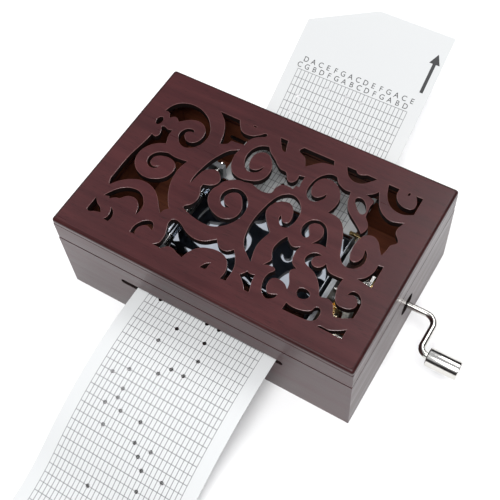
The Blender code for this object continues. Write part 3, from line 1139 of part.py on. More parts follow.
def build_crank():
    """The bent crank rod in the pinion's socket, and the knob that spins on its outer end."""
    start = Vector((PINION_X + GEAR_THICKNESS + 5 * GAP, *CRANK_AT))
    elbow = Vector((HALF_LENGTH + CRANK_REACH, *CRANK_AT))
    wrist = elbow + Vector((0, -CRANK_THROW, CRANK_RISE))
    end = wrist + Vector((KNOB_STANDOFF + KNOB_LENGTH - KNOB_END_WALL - GAP, 0, 0))
    corners = (start, elbow, wrist, end)
    path = [start]
    for before, corner, after, bend in zip(corners, corners[1:], corners[2:], (ROD_ELBOW_BEND, ROD_WRIST_BEND)):
        arrive, leave = (corner - before).normalized(), (after - corner).normalized()
        centre = corner - arrive * bend + leave * bend
        for step in range(6):
            angle = math.pi / 2 * step / 5
            path.append(centre - leave * bend * math.cos(angle) + arrive * bend * math.sin(angle))
    path.append(end)
    curve = bpy.data.curves.new("crank_rod", "CURVE")
    curve.dimensions = "3D"
    curve.bevel_depth = ROD_RADIUS
    curve.bevel_resolution = 2
    curve.use_fill_caps = True
    spline = curve.splines.new("POLY")
    spline.points.add(len(path) - 1)
    for target, point in zip(spline.points, path):
        target.co = (*point, 1.0)
    curve.materials.append(NICKEL)
    rod_ = bpy.data.objects.new("crank_rod", curve)
    PARTS.objects.link(rod_)

    knob_start = wrist.x + KNOB_STANDOFF
    knob_end = knob_start + KNOB_LENGTH
    bore = ROD_RADIUS + GAP
    knob = turned(
        "crank_knob",
        [
            (knob_end, 0.0), (knob_end, KNOB_RADIUS - KNOB_EDGE), (knob_end - KNOB_EDGE, KNOB_RADIUS),
            (knob_start + KNOB_EDGE, KNOB_RADIUS), (knob_start, KNOB_RADIUS - KNOB_EDGE), (knob_start, bore),
            (knob_end - KNOB_END_WALL, bore), (knob_end - KNOB_END_WALL, 0.0),
        ],
        (0, wrist.y, wrist.z),
        NICKEL,
        sides=32,
    )
    return rod_, knob, wrist


KNOB_END_WALL = 0.0015
KNOB_EDGE = 0.0004

panel, lid_frame = build_lid()
build_case()
build_movement_screws()
left_lid_leaf, left_case_leaf, left_pin = build_hinge("left", -LID_HINGE_X)
right_lid_leaf, right_case_leaf, right_pin = build_hinge("right", LID_HINGE_X)
hang(
    pivot("lid_pivot", (0, HALF_WIDTH + GAP + KNUCKLE_RADIUS, SEAM_HEIGHT)),
    panel, lid_frame, left_lid_leaf, right_lid_leaf,
)
build_card()
build_movement_frame()
build_table("front_paper_table", *FRONT_TABLE)
build_table("back_paper_table", *BACK_TABLE)
build_comb()
stars, star_axle = build_star_wheels()
hang(pivot("star_pivot", (0, STAR_Y, STAR_HEIGHT)), stars)
pinion, idler, idler_pin, roller_gear = build_gear_train()
build_gear_plate()
shaft, sleeve, pressure = build_rollers()
cover, hinge_rod, catch = build_cover()
cover_pivot = pivot("cover_pivot", (HINGE_ROD_X, 0, HINGE_ROD_HEIGHT))
hang(cover_pivot, cover)
crank_rod, knob, wrist = build_crank()
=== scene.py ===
"""Hand-crank paper-strip music box: the looks of every piece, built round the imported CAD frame."""

import json
import math

import bmesh
import bpy
import numpy as np
from mathutils import Matrix, Vector


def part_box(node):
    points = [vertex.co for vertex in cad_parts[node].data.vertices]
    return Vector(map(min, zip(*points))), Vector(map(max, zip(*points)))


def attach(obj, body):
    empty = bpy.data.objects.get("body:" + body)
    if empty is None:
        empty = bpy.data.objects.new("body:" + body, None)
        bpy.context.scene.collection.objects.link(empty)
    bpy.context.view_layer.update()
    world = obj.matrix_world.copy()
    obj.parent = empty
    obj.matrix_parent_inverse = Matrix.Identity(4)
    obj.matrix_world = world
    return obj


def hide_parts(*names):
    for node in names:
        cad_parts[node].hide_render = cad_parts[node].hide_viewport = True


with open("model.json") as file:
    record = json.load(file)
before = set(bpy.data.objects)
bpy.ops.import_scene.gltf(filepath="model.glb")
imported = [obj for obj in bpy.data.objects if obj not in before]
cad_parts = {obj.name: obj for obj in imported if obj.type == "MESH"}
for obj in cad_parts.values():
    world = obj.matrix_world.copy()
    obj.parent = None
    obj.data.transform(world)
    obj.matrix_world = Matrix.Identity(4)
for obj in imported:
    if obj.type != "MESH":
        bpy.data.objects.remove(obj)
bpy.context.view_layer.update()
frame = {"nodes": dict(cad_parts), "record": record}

# ---------------------------------------------------------------------------------------------------------------------
# The view: a long lens on the crank's side of the front, high above the table, that looks down on the shut lid.
# Its place is in the shared frame, and its turn is an axis times an angle.
MM = 0.001
CAMERA_AT = np.array([123.71, -177.14, 365.92]) * MM
CAMERA_TURN = np.array([2.52281613, 0.678552112, -0.264118365])
LENS, SENSOR, NEAREST = 64.35, 36, 0.01


def turn_matrix(turn):
    """Rodrigues: identity + sin(a) K + (1 - cos(a)) K squared, K being the cross-product matrix of the unit axis."""
    angle = np.linalg.norm(turn)
    x, y, z = turn / angle
    cross = np.array([[0, -z, y], [z, 0, -x], [-y, x, 0]])
    return np.eye(3) + math.sin(angle) * cross + (1 - math.cos(angle)) * cross @ cross


right, down, ahead = turn_matrix(CAMERA_TURN)
view = Matrix(np.column_stack([right, -down, -ahead]).tolist()).to_4x4()
view.translation = CAMERA_AT
camera_data = bpy.data.cameras.new("view")
camera_data.lens = LENS
camera_data.sensor_width = SENSOR
camera_data.clip_start = NEAREST
camera = bpy.data.objects.new("view", camera_data)
camera.matrix_world = view
bpy.context.scene.collection.objects.link(camera)
bpy.context.scene.camera = camera
bpy.context.scene.view_settings.view_transform = "Standard"

# ---------------------------------------------------------------------------------------------------------------------
# The table and the light: a matt white sheet under three soft boxes, in a room that is dark at the horizon and pale
# overhead, so that the lacquer stays deep and the polished metal still has something to mirror.
TABLE_REACH = 6.0
HORIZON, HORIZON_AT = (0.030, 0.028, 0.030), 0.50
OVERHEAD, OVERHEAD_AT = (0.62, 0.63, 0.66), 0.66


def set_sockets(tree, made, values):
    """Links or sets each of a node's sockets, by name or number."""
    for key, value in values.items():
        if isinstance(value, bpy.types.NodeSocket):
            tree.links.new(value, made.inputs[key])
        else:
            made.inputs[key].default_value = value


def node(tree, kind, sockets=None, **settings):
    """A shader node with its settings and its sockets filled in."""
    made = tree.nodes.new(kind)
    for key, value in settings.items():
        setattr(made, key, value)
    set_sockets(tree, made, sockets or {})
    return made


def two_tone(tree, share, first, second, start=0.0, end=1.0):
    """A ramp from one colour to another as the share goes from start to end."""
    ramp = node(tree, "ShaderNodeValToRGB", {0: share})
    for element, colour, position in zip(ramp.color_ramp.elements, (first, second), (start, end)):
        element.color = (*colour, 1)
        element.position = position
    return ramp.outputs[0]


def new_material(name):
    material = bpy.data.materials.new(name)
    material.use_nodes = True
    tree = material.node_tree
    return material, tree, tree.nodes["Principled BSDF"]


def mesh_object(name, points, faces, sharp=35):
    """A mesh object from whole arrays, in the shared frame, shaded smooth up to an angle in degrees."""
    mesh = bpy.data.meshes.new(name)
    mesh.from_pydata(np.asarray(points, float).tolist(), [], [list(map(int, face)) for face in faces])
    mesh.shade_smooth()
    mesh.set_sharp_from_angle(angle=math.radians(sharp))
    obj = bpy.data.objects.new(name, mesh)
    bpy.context.scene.collection.objects.link(obj)
    return obj


def soft_box(name, at, size, power):
    """A square area light that faces the middle of the table."""
    data = bpy.data.lights.new(name, "AREA")
    data.shape = "RECTANGLE"
    data.size = data.size_y = size
    data.energy = power
    lamp = bpy.data.objects.new(name, data)
    lamp.location = at
    lamp.rotation_euler = (-Vector(at)).to_track_quat("-Z", "Y").to_euler()
    bpy.context.scene.collection.objects.link(lamp)


table_corners = TABLE_REACH * np.array([(-1, -1, 0), (1, -1, 0), (1, 1, 0), (-1, 1, 0)])
table = mesh_object("table_top", table_corners, [(0, 1, 2, 3)])
white_sheet, tree, shader = new_material("white_table")
set_sockets(tree, shader, {"Base Color": (0.93, 0.93, 0.93, 1), "Roughness": 0.9})
table.data.materials.append(white_sheet)

world = bpy.data.worlds.new("studio")
bpy.context.scene.world = world
world.use_nodes = True
sky = world.node_tree
direction = node(sky, "ShaderNodeTexCoord").outputs["Generated"]
height = node(sky, "ShaderNodeSeparateXYZ", {0: direction}).outputs["Z"]
room = two_tone(sky, height, HORIZON, OVERHEAD, HORIZON_AT, OVERHEAD_AT)
set_sockets(sky, sky.nodes["Background"], {"Color": room, "Strength": 1.0})
soft_box("front_soft_box", (0.3, -0.7, 1.7), 0.9, 31)
soft_box("left_soft_box", (-1.7, 0.5, 1.3), 1.0, 6)
soft_box("back_soft_box", (0.25, 1.25, 1.8), 0.8, 15)

# ---------------------------------------------------------------------------------------------------------------------
# The case: four mahogany boards glued at the corners on a thin floor board. Outside they are dark lacquer over a
# straight grain, inside they are only stained brown, and the sawn edges of the card and crank slots are painted shade.
LACQUER_IOR, LACQUER_ROUGH = 1.5, 0.14
STREAK_ACROSS, STREAK_LENGTHWISE = 260.0, 14.0
PORE_ACROSS, PORE_LENGTHWISE, PORE_DEPTH, PORE_SHADE = 2600.0, 220.0, 0.6, 0.35
GRAIN_RELIEF, GRAIN_HEIGHT = 0.12, 0.0001
EASED_FROM, EASED_STEPS = 30, 2
WALL_EASE, FLOOR_EASE = 0.0006, 0.0003
ON_FACE, ON_LEVEL, WALL_DEPTH = 0.0003, 0.0002, 0.0047
LEVEL_FACES = (0, 0.03755, 0.03785, 0.04910)
half_x, half_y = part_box("lid_panel")[1][:2]


def noise(tree, place, scale, detail, **more):
    sockets = {"Vector": place, "Scale": scale, "Detail": detail, **more}
    return node(tree, "ShaderNodeTexNoise", sockets).outputs[0]


def remap(tree, value, low, high, to_low, to_high):
    """A value carried evenly from one range to another, and held within it."""
    return node(tree, "ShaderNodeMapRange", {0: value, 1: low, 2: high, 3: to_low, 4: to_high}).outputs[0]


def combine(tree, first, second, operation="MULTIPLY"):
    return node(tree, "ShaderNodeMath", {0: first, 1: second}, operation=operation).outputs[0]


def scaled(tree, colour, by):
    return node(tree, "ShaderNodeVectorMath", {0: colour, 3: by}, operation="SCALE").outputs[0]


def mixed(tree, share, first, second):
    """The first colour giving way to the second by a share."""
    return node(tree, "ShaderNodeMix", {0: share, 6: first, 7: second}, data_type="RGBA").outputs[2]


def raised(tree, value, strength, distance):
    """A normal bumped by a value, the distance being how high a full step of it stands."""
    return node(tree, "ShaderNodeBump", {"Strength": strength, "Distance": distance, "Height": value}).outputs[0]


def wood_material(name, along, dark, light, coat=0.0, sheen=0.32, gloss=0.5):
    """A noise drawn out along the grain gives streaks from dark to light, a finer one gives pores, and a wide one
    clouds the colour. The streaks less the pores are the relief, all under a clear coat."""
    material, tree, shader = new_material(name)
    coords = node(tree, "ShaderNodeTexCoord").outputs["Object"]

    def along_grain(across, lengthwise):
        scale = [across, across, across]
        scale["XYZ".index(along)] = lengthwise
        return node(tree, "ShaderNodeMapping", {0: coords, "Scale": scale}).outputs[0]

    streaks = noise(tree, along_grain(STREAK_ACROSS, STREAK_LENGTHWISE), 1.0, 6.0, Roughness=0.62, Distortion=0.4)
    specks = noise(tree, along_grain(PORE_ACROSS, PORE_LENGTHWISE), 1.0, 2.0)
    pores = remap(tree, specks, 0.60, 0.70, 0.0, PORE_DEPTH)
    cloud = remap(tree, noise(tree, coords, 22.0, 3.0), 0.35, 0.65, 0.86, 1.12)
    tinted = scaled(tree, two_tone(tree, streaks, dark, light, 0.34, 0.66), cloud)
    set_sockets(tree, shader, {
        "Base Color": mixed(tree, pores, tinted, (*(PORE_SHADE * c for c in dark), 1)),
        "Roughness": remap(tree, streaks, 0.3, 0.7, sheen - 0.05, sheen + 0.08),
        "Normal": raised(tree, combine(tree, streaks, pores, "SUBTRACT"), GRAIN_RELIEF, GRAIN_HEIGHT),
        "Coat Weight": coat,
        "Coat Roughness": LACQUER_ROUGH,
        "Coat IOR": LACQUER_IOR,
        "Specular IOR Level": gloss,
    })
    return material


def eased_copy(source_name, name, width, materials, choose=None):
    """The CAD node's own solid, merged and with its edges eased by a bevel that ends as real geometry."""
    mesh = frame["nodes"][source_name].data.copy()
    mesh.name = name
    work = bmesh.new()
    work.from_mesh(mesh)
    bmesh.ops.remove_doubles(work, verts=work.verts, dist=2e-6)
    bmesh.ops.dissolve_limit(work, angle_limit=math.radians(1), verts=work.verts, edges=work.edges)
    work.to_mesh(mesh)
    work.free()
    mesh.materials.clear()
    for material in materials:
        mesh.materials.append(material)
    marks = [choose(p.center, p.normal) if choose else 0 for p in mesh.polygons]
    mesh.polygons.foreach_set("material_index", np.array(marks, np.int32))
    mesh.shade_smooth()
    mesh.set_sharp_from_angle(angle=math.radians(EASED_FROM))
    obj = bpy.data.objects.new(name, mesh)
    bpy.context.scene.collection.objects.link(obj)
    bevel = obj.modifiers.new("eased_edges", "BEVEL")
    bevel.width = width
    bevel.segments = EASED_STEPS
    bevel.limit_method = "ANGLE"
    bevel.angle_limit = math.radians(EASED_FROM)
    bevel.harden_normals = True
    bevel.use_clamp_overlap = True
    body = next(b for b, nodes in frame["record"]["behaviour"]["bodies"].items() if source_name in nodes)
    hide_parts(source_name)
    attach(obj, body)


LONG_SIDE, END, INSIDE, SAWN = range(4)


def wall_side(centre, normal):
    """Ends and long sides take their own grain direction, and so do the level faces where case and lid meet.
    What faces into the case is left stained, and what lies within a wall's thickness is sawn."""
    beside = [half - abs(place) for half, place in zip((half_x, half_y), centre)]
    if min(beside) < ON_FACE:
        return END if abs(normal[0]) > 0.7 else LONG_SIDE
    if abs(normal[2]) > 0.99 and min(abs(centre[2] - z) for z in LEVEL_FACES) < ON_LEVEL:
        return LONG_SIDE
    return SAWN if min(beside) < WALL_DEPTH else INSIDE


lacquered_side = wood_material("lacquered_mahogany_side", "X", (0.034, 0.008, 0.010), (0.052, 0.013, 0.015), coat=0.1)
lacquered_end = wood_material("lacquered_mahogany_end", "Y", (0.030, 0.008, 0.010), (0.046, 0.013, 0.015), gloss=0.35)
bare_inside = wood_material("stained_inside", "X", (0.10, 0.026, 0.012), (0.17, 0.050, 0.022), sheen=0.55, gloss=0.3)
# The cut edges are painted near-black: painted shade for the shadow down inside the case's slots and the lid's cuts.
shade_painted_cut_edge = wood_material(
    "cut_edge_painted_shade", "X", (0.005, 0.0025, 0.0025), (0.012, 0.005, 0.004), sheen=0.6, gloss=0.15
)
WALL_FINISHES = [lacquered_side, lacquered_end, bare_inside, shade_painted_cut_edge]
eased_copy("case_frame", "case_walls", WALL_EASE, WALL_FINISHES, wall_side)
eased_copy("case_floor", "floor_board", FLOOR_EASE, [bare_inside])

# ---------------------------------------------------------------------------------------------------------------------
# The hinges: two brass butt hinges across the seam at the back. Each has a leaf on the case, a leaf on the lid, and a
# pin through the knuckles of both.
EASE = 0.0002


def metal_material(name, colour, rough, scale=900.0, stretch=(1, 1, 1), bump=0.05, spread=0.06, dull=0.0):
    """Polished or brushed metal: a fine noise for drawn lines and a wide one for clouds. Both vary its roughness, the
    clouds its colour, and the lines its relief."""
    material, tree, shader = new_material(name)
    coords = node(tree, "ShaderNodeTexCoord").outputs["Object"]
    drawn = node(tree, "ShaderNodeMapping", {0: coords, "Scale": [scale * s for s in stretch]}).outputs[0]
    lines = noise(tree, drawn, 1.0, 3.0)
    cloud = noise(tree, coords, 120.0, 2.0)
    both = combine(tree, lines, cloud, "ADD")
    set_sockets(tree, shader, {
        "Base Color": scaled(tree, colour, remap(tree, cloud, 0.35, 0.65, 0.90 - dull, 1.03)),
        "Roughness": remap(tree, both, 0.7, 1.3, max(rough - spread, 0.02), rough + spread),
        "Normal": raised(tree, lines, bump, 0.00005),
        "Metallic": 1.0,
    })
    return material


def finish_all(names, material, ease):
    """Eased copies of CAD nodes in one finish, each named after its node."""
    for name in names:
        eased_copy(name, name + "_finished", ease, [material])


brass_metal = metal_material("plain_brass", (0.72, 0.52, 0.24), 0.26, dull=0.05)
for side in ("left", "right"):
    finish_all([f"{side}_hinge_{piece}" for piece in ("lid_leaf", "case_leaf", "pin")], brass_metal, EASE)

# ---------------------------------------------------------------------------------------------------------------------
# The movement's frame: one zinc casting with two side cheeks and a bed, left rough. Four plated screws come up through
# the floor board into its feet.
CASTING_EASE, FINE_EASE = 0.00025, 0.0001
casting = metal_material("cast_zinc", (0.42, 0.43, 0.44), 0.45, bump=0.35, scale=1600.0, dull=0.1)
nickel = metal_material("bright_nickel", (0.66, 0.645, 0.61), 0.15)
finish_all(["movement_frame"], casting, CASTING_EASE)
finish_all([f"movement_screw_{number}" for number in (1, 2, 3, 4)], nickel, FINE_EASE)

# ---------------------------------------------------------------------------------------------------------------------
# The comb: a ground steel plate with thirty thin teeth, one for each note. Three screws hold its thick edge down on
# the casting.
TOOTH_EASE = 0.00006
steel = metal_material("ground_steel", (0.55, 0.56, 0.58), 0.28, stretch=(1, 0.05, 1), bump=0.12)
finish_all(["comb"], steel, TOOTH_EASE)
finish_all([f"comb_screw_{number}" for number in (1, 2, 3)], nickel, FINE_EASE)

# ---------------------------------------------------------------------------------------------------------------------
# The star wheels: thirty stamped and plated wheels side by side on one steel axle. A hole in the card catches a point
# of the wheel under it, and the wheel plucks its tooth.
STAR_EASE = 0.00005
finish_all(["star_wheels"], nickel, STAR_EASE)
finish_all(["star_wheel_axle"], steel, FINE_EASE)

# ---------------------------------------------------------------------------------------------------------------------
# The feed roller: a plated shaft with a black rubber sleeve that grips the card from below. A brass gear is pressed on
# its crank end.
SLEEVE_EASE, GEAR_EASE = 0.0004, 0.00008


def speckled_material(name, scale, detail, dark, light, rough):
    """A dull stuff whose colour is mottled by one fine noise."""
    material, tree, shader = new_material(name)
    coords = node(tree, "ShaderNodeTexCoord").outputs["Object"]
    mottle = noise(tree, coords, scale, detail)
    set_sockets(tree, shader, {"Base Color": two_tone(tree, mottle, dark, light), "Roughness": rough})
    return material


rubber = speckled_material("black_rubber_tyre", 700.0, 4.0, (0.012, 0.012, 0.012), (0.045, 0.045, 0.046), 0.7)
finish_all(["feed_roller_shaft"], nickel, FINE_EASE)
finish_all(["feed_roller_sleeve"], rubber, SLEEVE_EASE)
finish_all(["roller_gear"], brass_metal, GEAR_EASE)

# ---------------------------------------------------------------------------------------------------------------------
# The gear train: the crank's steel pinion in its brass bush, and a moulded nylon double gear that turns on a pin. A
# plated sheet plate stands off the frame on three turned pillars and carries their outer ends.
nylon = speckled_material("moulded_nylon", 900.0, 3.0, (0.70, 0.69, 0.64), (0.84, 0.83, 0.79), 0.42)
finish_all(["crank_pinion_shaft"], nickel, FINE_EASE)
finish_all(["crank_bush"], brass_metal, EASE)
finish_all(["idler_gear"], nylon, GEAR_EASE)
finish_all(["idler_pin"], steel, FINE_EASE)
finish_all(["gear_plate"], nickel, EASE)
finish_all([f"gear_plate_pillar_{number}" for number in (1, 2, 3)], nickel, FINE_EASE)

# ---------------------------------------------------------------------------------------------------------------------
# The crank's knob: turned from plated steel, with rounded ends, a bore for the rod, and a shallow recess round the
# riveted end of the pin that it spins on.
KNOB_ROUND, KNOB_BORE, KNOB_BORE_DEPTH, BORE_EASE = 0.0005, 0.0019, 0.0122, 0.0002
RECESS_DEPTH, RECESS_RIM, RECESS_LIP, RECESS_FLOOR, RECESS_EASE = 0.0009, 0.0021, 0.0019, 0.0018, 0.00015
KNOB_SIDES, ARC_STEPS = 48, 6
POLE = 1e-7


class Sheets:
    """Collects the points and faces of one mesh, with a material number for each face."""

    def __init__(self):
        self.points, self.faces, self.marks, self.total = [], [], [], 0

    def add(self, points, faces, mark=0):
        """Takes in points, and faces that count from the first of them."""
        self.points.append(np.asarray(points, float))
        self.faces += [tuple(int(v) + self.total for v in face) for face in faces]
        self.marks += [mark] * len(faces)
        self.total += len(points)

    def loft(self, rings, mark=0, capped=False):
        """Quads between closed rings of equally many points, with a flat face over both ends if capped."""
        rings = np.asarray(rings)
        levels, count = rings.shape[:2]
        i = np.arange(count)
        j = (i + 1) % count
        first = count * np.arange(levels - 1)[:, None]
        second = first + count
        quads = np.stack([first + i, first + j, second + j, second + i], axis=2).reshape(-1, 4)
        caps = [range(count), range((levels - 1) * count, levels * count)] if capped else []
        self.add(rings.reshape(-1, 3), [*quads, *caps], mark)

    def object(self, name, materials, merge=2e-6, sharp=35, recalc=True):
        """One object of all that was collected, its doubles merged and its faces turned outwards."""
        obj = mesh_object(name, np.vstack(self.points), self.faces, sharp)
        obj.data.polygons.foreach_set("material_index", np.array(self.marks, np.int32))
        for material in materials:
            obj.data.materials.append(material)
        work = bmesh.new()
        work.from_mesh(obj.data)
        bmesh.ops.remove_doubles(work, verts=work.verts, dist=merge)
        if recalc:
            bmesh.ops.recalc_face_normals(work, faces=work.faces)
        work.to_mesh(obj.data)
        work.free()
        obj.data.shade_smooth()
        obj.data.set_sharp_from_angle(angle=math.radians(sharp))
        return obj


def turned_surface(profile, centre, sides):
    """Rings round a line along X: each profile row is (x, radius), and the rings hold y = r cos t, z = r sin t."""
    x, r = np.array(profile).T[:, :, None]
    t = np.arange(sides) * math.tau / sides
    return np.stack([x + 0 * t, centre[0] + r * np.cos(t), centre[1] + r * np.sin(t)], axis=2)


knob_low, knob_high = (np.array(corner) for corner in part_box("crank_knob"))
knob_middle = (knob_low[1:] + knob_high[1:]) / 2
knob_radius = (knob_high[1] - knob_low[1]) / 2
knob_start, knob_end = knob_low[0], knob_high[0]
arc = np.linspace(0, math.pi / 2, ARC_STEPS)
inset, drop = KNOB_ROUND * (1 - np.sin(arc)), KNOB_ROUND * (1 - np.cos(arc))
knob = Sheets()
knob.loft(turned_surface([
    (knob_start + KNOB_BORE_DEPTH, POLE), (knob_start + KNOB_BORE_DEPTH, KNOB_BORE),
    (knob_start + BORE_EASE, KNOB_BORE), (knob_start, KNOB_BORE + BORE_EASE),
    *zip(knob_start + inset[::-1], knob_radius - drop[::-1]),
    *zip(knob_end - inset, knob_radius - drop),
    (knob_end, RECESS_RIM), (knob_end - RECESS_EASE, RECESS_LIP),
    (knob_end - RECESS_DEPTH, RECESS_FLOOR), (knob_end - RECESS_DEPTH, POLE),
], knob_middle, KNOB_SIDES))
knob_object = knob.object("turned_crank_knob", [nickel], sharp=40)
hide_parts("crank_knob")
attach(knob_object, "knob")

# ---------------------------------------------------------------------------------------------------------------------
# The crank's rod: 3 mm steel rod, bent twice and nickel plated. It runs through the hole in the right end wall into the
# pinion shaft, and its outer end carries the knob.
ROD, ROD_SIDES, BEND_STEPS = 0.0015, 24, 12
INNER_BEND, OUTER_BEND, ELBOW_X = 0.0050, 0.0036, 0.0869
CRANK_AXIS = (0.004, 0.0223)


def swept_rod(corners, bends, radius):
    """A circle carried along straight runs joined by arcs: each ring stands square to the path's direction."""
    path = [corners[:1]]
    a = np.linspace(0, math.pi / 2, BEND_STEPS)[:, None]
    for before, corner, after, bend in zip(corners, corners[1:], corners[2:], bends):
        arrive = (corner - before) / np.linalg.norm(corner - before)
        leave = (after - corner) / np.linalg.norm(after - corner)
        middle = corner - arrive * bend + leave * bend
        path.append(middle - leave * bend * np.cos(a) + arrive * bend * np.sin(a))
    path = np.vstack([*path, corners[-1:]])
    along = np.gradient(path, axis=0)
    along /= np.linalg.norm(along, axis=1)[:, None]
    side = np.cross(corners[1] - corners[0], corners[2] - corners[1])
    side /= np.linalg.norm(side)
    t = (np.arange(ROD_SIDES) * math.tau / ROD_SIDES)[:, None]
    return path[:, None] + radius * (np.cos(t) * side + np.sin(t) * np.cross(along, side)[:, None])


rod_start, rod_end = (corner[0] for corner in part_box("crank_rod"))
rod_corners = np.array([
    (rod_start, *CRANK_AXIS), (ELBOW_X, *CRANK_AXIS), (ELBOW_X, *knob_middle), (rod_end, *knob_middle),
])
rod = Sheets()
rod.loft(swept_rod(rod_corners, (INNER_BEND, OUTER_BEND), ROD), capped=True)
rod_object = rod.object("bent_crank_rod", [nickel], sharp=50)
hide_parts("crank_rod")
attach(rod_object, "crank")

# ---------------------------------------------------------------------------------------------------------------------
# The pressure cover: a bent sheet of mirror-polished steel that holds a plated roller down on the card. It swings on a
# rod at the left, a brass catch keeps it shut, and plated sheet tables lead the card in and out under it.
chrome = metal_material("mirror_steel_cover", (0.70, 0.74, 0.80), 0.05, bump=0.015, spread=0.02)
finish_all(["pressure_cover"], chrome, EASE)
finish_all(["pressure_roller"], nickel, FINE_EASE)
finish_all(["cover_hinge_rod", "front_paper_table", "back_paper_table"], nickel, EASE)
finish_all(["cover_catch"], brass_metal, EASE)

# ---------------------------------------------------------------------------------------------------------------------
# The card strip: white card 0.3 mm thick, printed with a grey grid of thirty note lines and its beat lines, and the
# tune punched out. It runs level through the case, rises behind it, and droops to the table in front.
CARD, CARD_LEVEL, CARD_OFF_TABLE = 0.0003, 0.0262, 0.0003
NOTES, NOTE_PITCH, BEAT, ROWS_IN_BEAT = 30, 0.0020, 0.00828, 4
TIP_SLOPE, TIP_BEND = math.radians(28.3), 0.0100
FLAT_BEHIND, FLAT_FRONT, DROOP, LANDING, TAIL_FLAT = 0.0040, 0.0060, 0.1430, 0.0700, 0.0200
TIP, TIP_ROWS, GRID_TO_TIP = 0.0797, 17, 0.006
LEFT_CORNER, APEX_X = 0.0155, -0.0010
HOLE, HOLE_SIDES = 0.00092, 16
CARD_SHARP = 40
strip_low, strip_high = (np.array(corner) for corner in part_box("paper_strip"))
card_middle = (strip_low[0] + strip_high[0]) / 2
landing_turn = math.acos(1 - (CARD_LEVEL - CARD / 2 - CARD_OFF_TABLE) / (DROOP + LANDING))


def card_place(s):
    """(y, z, slope) at a distance s behind the middle of the case: level through it, an arc up to the straight tip;
    in front an arc down, an arc the other way, and level on the table."""
    start = half_y + FLAT_BEHIND
    turn = np.clip((s - start) / TIP_BEND, 0, TIP_SLOPE)
    rest = np.maximum(s - start - TIP_BEND * TIP_SLOPE, 0)
    y = np.where(s > start, start + TIP_BEND * np.sin(turn) + rest * math.cos(TIP_SLOPE), s)
    z = CARD_LEVEL + TIP_BEND * (1 - np.cos(turn)) + rest * math.sin(TIP_SLOPE)
    start = half_y + FLAT_FRONT
    ahead = -s - start
    down = np.clip(ahead / DROOP, 0, landing_turn)
    ahead_of_droop = np.maximum(ahead - DROOP * landing_turn, 0)
    back = np.clip(ahead_of_droop / LANDING, 0, landing_turn)
    flat = np.maximum(ahead_of_droop - LANDING * landing_turn, 0)
    run = DROOP * np.sin(down) + LANDING * (math.sin(landing_turn) - np.sin(landing_turn - back)) + flat
    fall = DROOP * (1 - np.cos(down)) + LANDING * (np.cos(landing_turn - back) - math.cos(landing_turn))
    return np.where(ahead > 0, -start - run, y), np.where(ahead > 0, z - fall, z), turn + down - back


def card_point(x, s, lift=0.0):
    """The bent card's point under the flat card's (x, s), raised off its middle by lift."""
    y, z, slope = card_place(s)
    return np.column_stack([x, y - np.sin(slope) * lift, z + np.cos(slope) * lift])


tail_s = -(half_y + FLAT_FRONT + (DROOP + LANDING) * landing_turn + TAIL_FLAT)
tip_s = half_y + TIP
grid_end = half_y + 0.0402
tip_zone_start = grid_end + GRID_TO_TIP
row_pitch = BEAT / ROWS_IN_BEAT
rows_down = int((grid_end - tail_s) / row_pitch)
left_margin = card_middle - NOTES * NOTE_PITCH / 2
s_lines = np.concatenate([
    [tail_s], grid_end - row_pitch / 2 - row_pitch * np.arange(rows_down)[::-1],
    np.linspace(tip_zone_start, tip_s, TIP_ROWS),
])
x_lines = np.concatenate([[strip_low[0]], left_margin + NOTE_PITCH * np.arange(NOTES + 1), [strip_high[0]]])

# The tune: a bass note on most beats, a melody that wanders round a slow wave, and a few notes off the beat
rng = np.random.default_rng(11)
tune = set()
for beat in range(rows_down // ROWS_IN_BEAT):
    chord = [int(rng.integers(2, 12))] if rng.random() < 0.75 else []
    melody = 14 + int(7 * math.sin(beat * 0.83) + rng.integers(-3, 4))
    if rng.random() < 0.8:
        chord.append(melody)
    if rng.random() < 0.35:
        chord.append(melody + int(rng.integers(3, 6)))
    for note in chord:
        tune.add((beat * ROWS_IN_BEAT + 2, min(max(note, 0), NOTES - 1)))
    if rng.random() < 0.35:
        tune.add(((beat + 1) * ROWS_IN_BEAT, min(max(melody + int(rng.integers(-4, 3)), 0), NOTES - 1)))

# The flat card: a grid of cells, where a punched cell has a ring of points in it. A fan of triangles joins each corner
# to its quarter of the ring, and one more triangle closes each side of the cell.
across, lengthwise = len(x_lines), len(s_lines)
flat_points = np.column_stack([np.tile(x_lines, lengthwise), np.repeat(s_lines, across)])
row, column = (index.ravel() for index in np.indices((lengthwise - 1, across - 1)))
first = row * across + column
cells = np.column_stack([first, first + 1, first + across + 1, first + across])
tune_row, tune_note = np.array(sorted(tune)).T
tune_row, tune_note = tune_row[tune_row < rows_down], tune_note[tune_row < rows_down]
is_punched = np.zeros((lengthwise - 1, across - 1), bool)
is_punched[rows_down - tune_row, tune_note + 1] = True
is_punched = is_punched.ravel()
corners = cells[is_punched]
t = -3 * math.pi / 4 + math.tau * np.arange(HOLE_SIDES) / HOLE_SIDES
rings = flat_points[corners].mean(axis=1)[:, None] + HOLE * np.column_stack([np.cos(t), np.sin(t)])
base = len(flat_points) + HOLE_SIDES * np.arange(len(corners))[:, None]
quarter, eighth = HOLE_SIDES // 4, HOLE_SIDES // 8
k = np.arange(HOLE_SIDES) - eighth
fans = [corners[:, (k + eighth) // quarter], base + (k + 1) % HOLE_SIDES, base + k % HOLE_SIDES]
sides = [corners, np.roll(corners, -1, axis=1), base + (quarter * np.arange(4) + eighth) % HOLE_SIDES]
triangles = np.vstack([np.stack(group, axis=2).reshape(-1, 3) for group in (fans, sides)])
flat_points = np.vstack([flat_points, rings.reshape(-1, 2)])

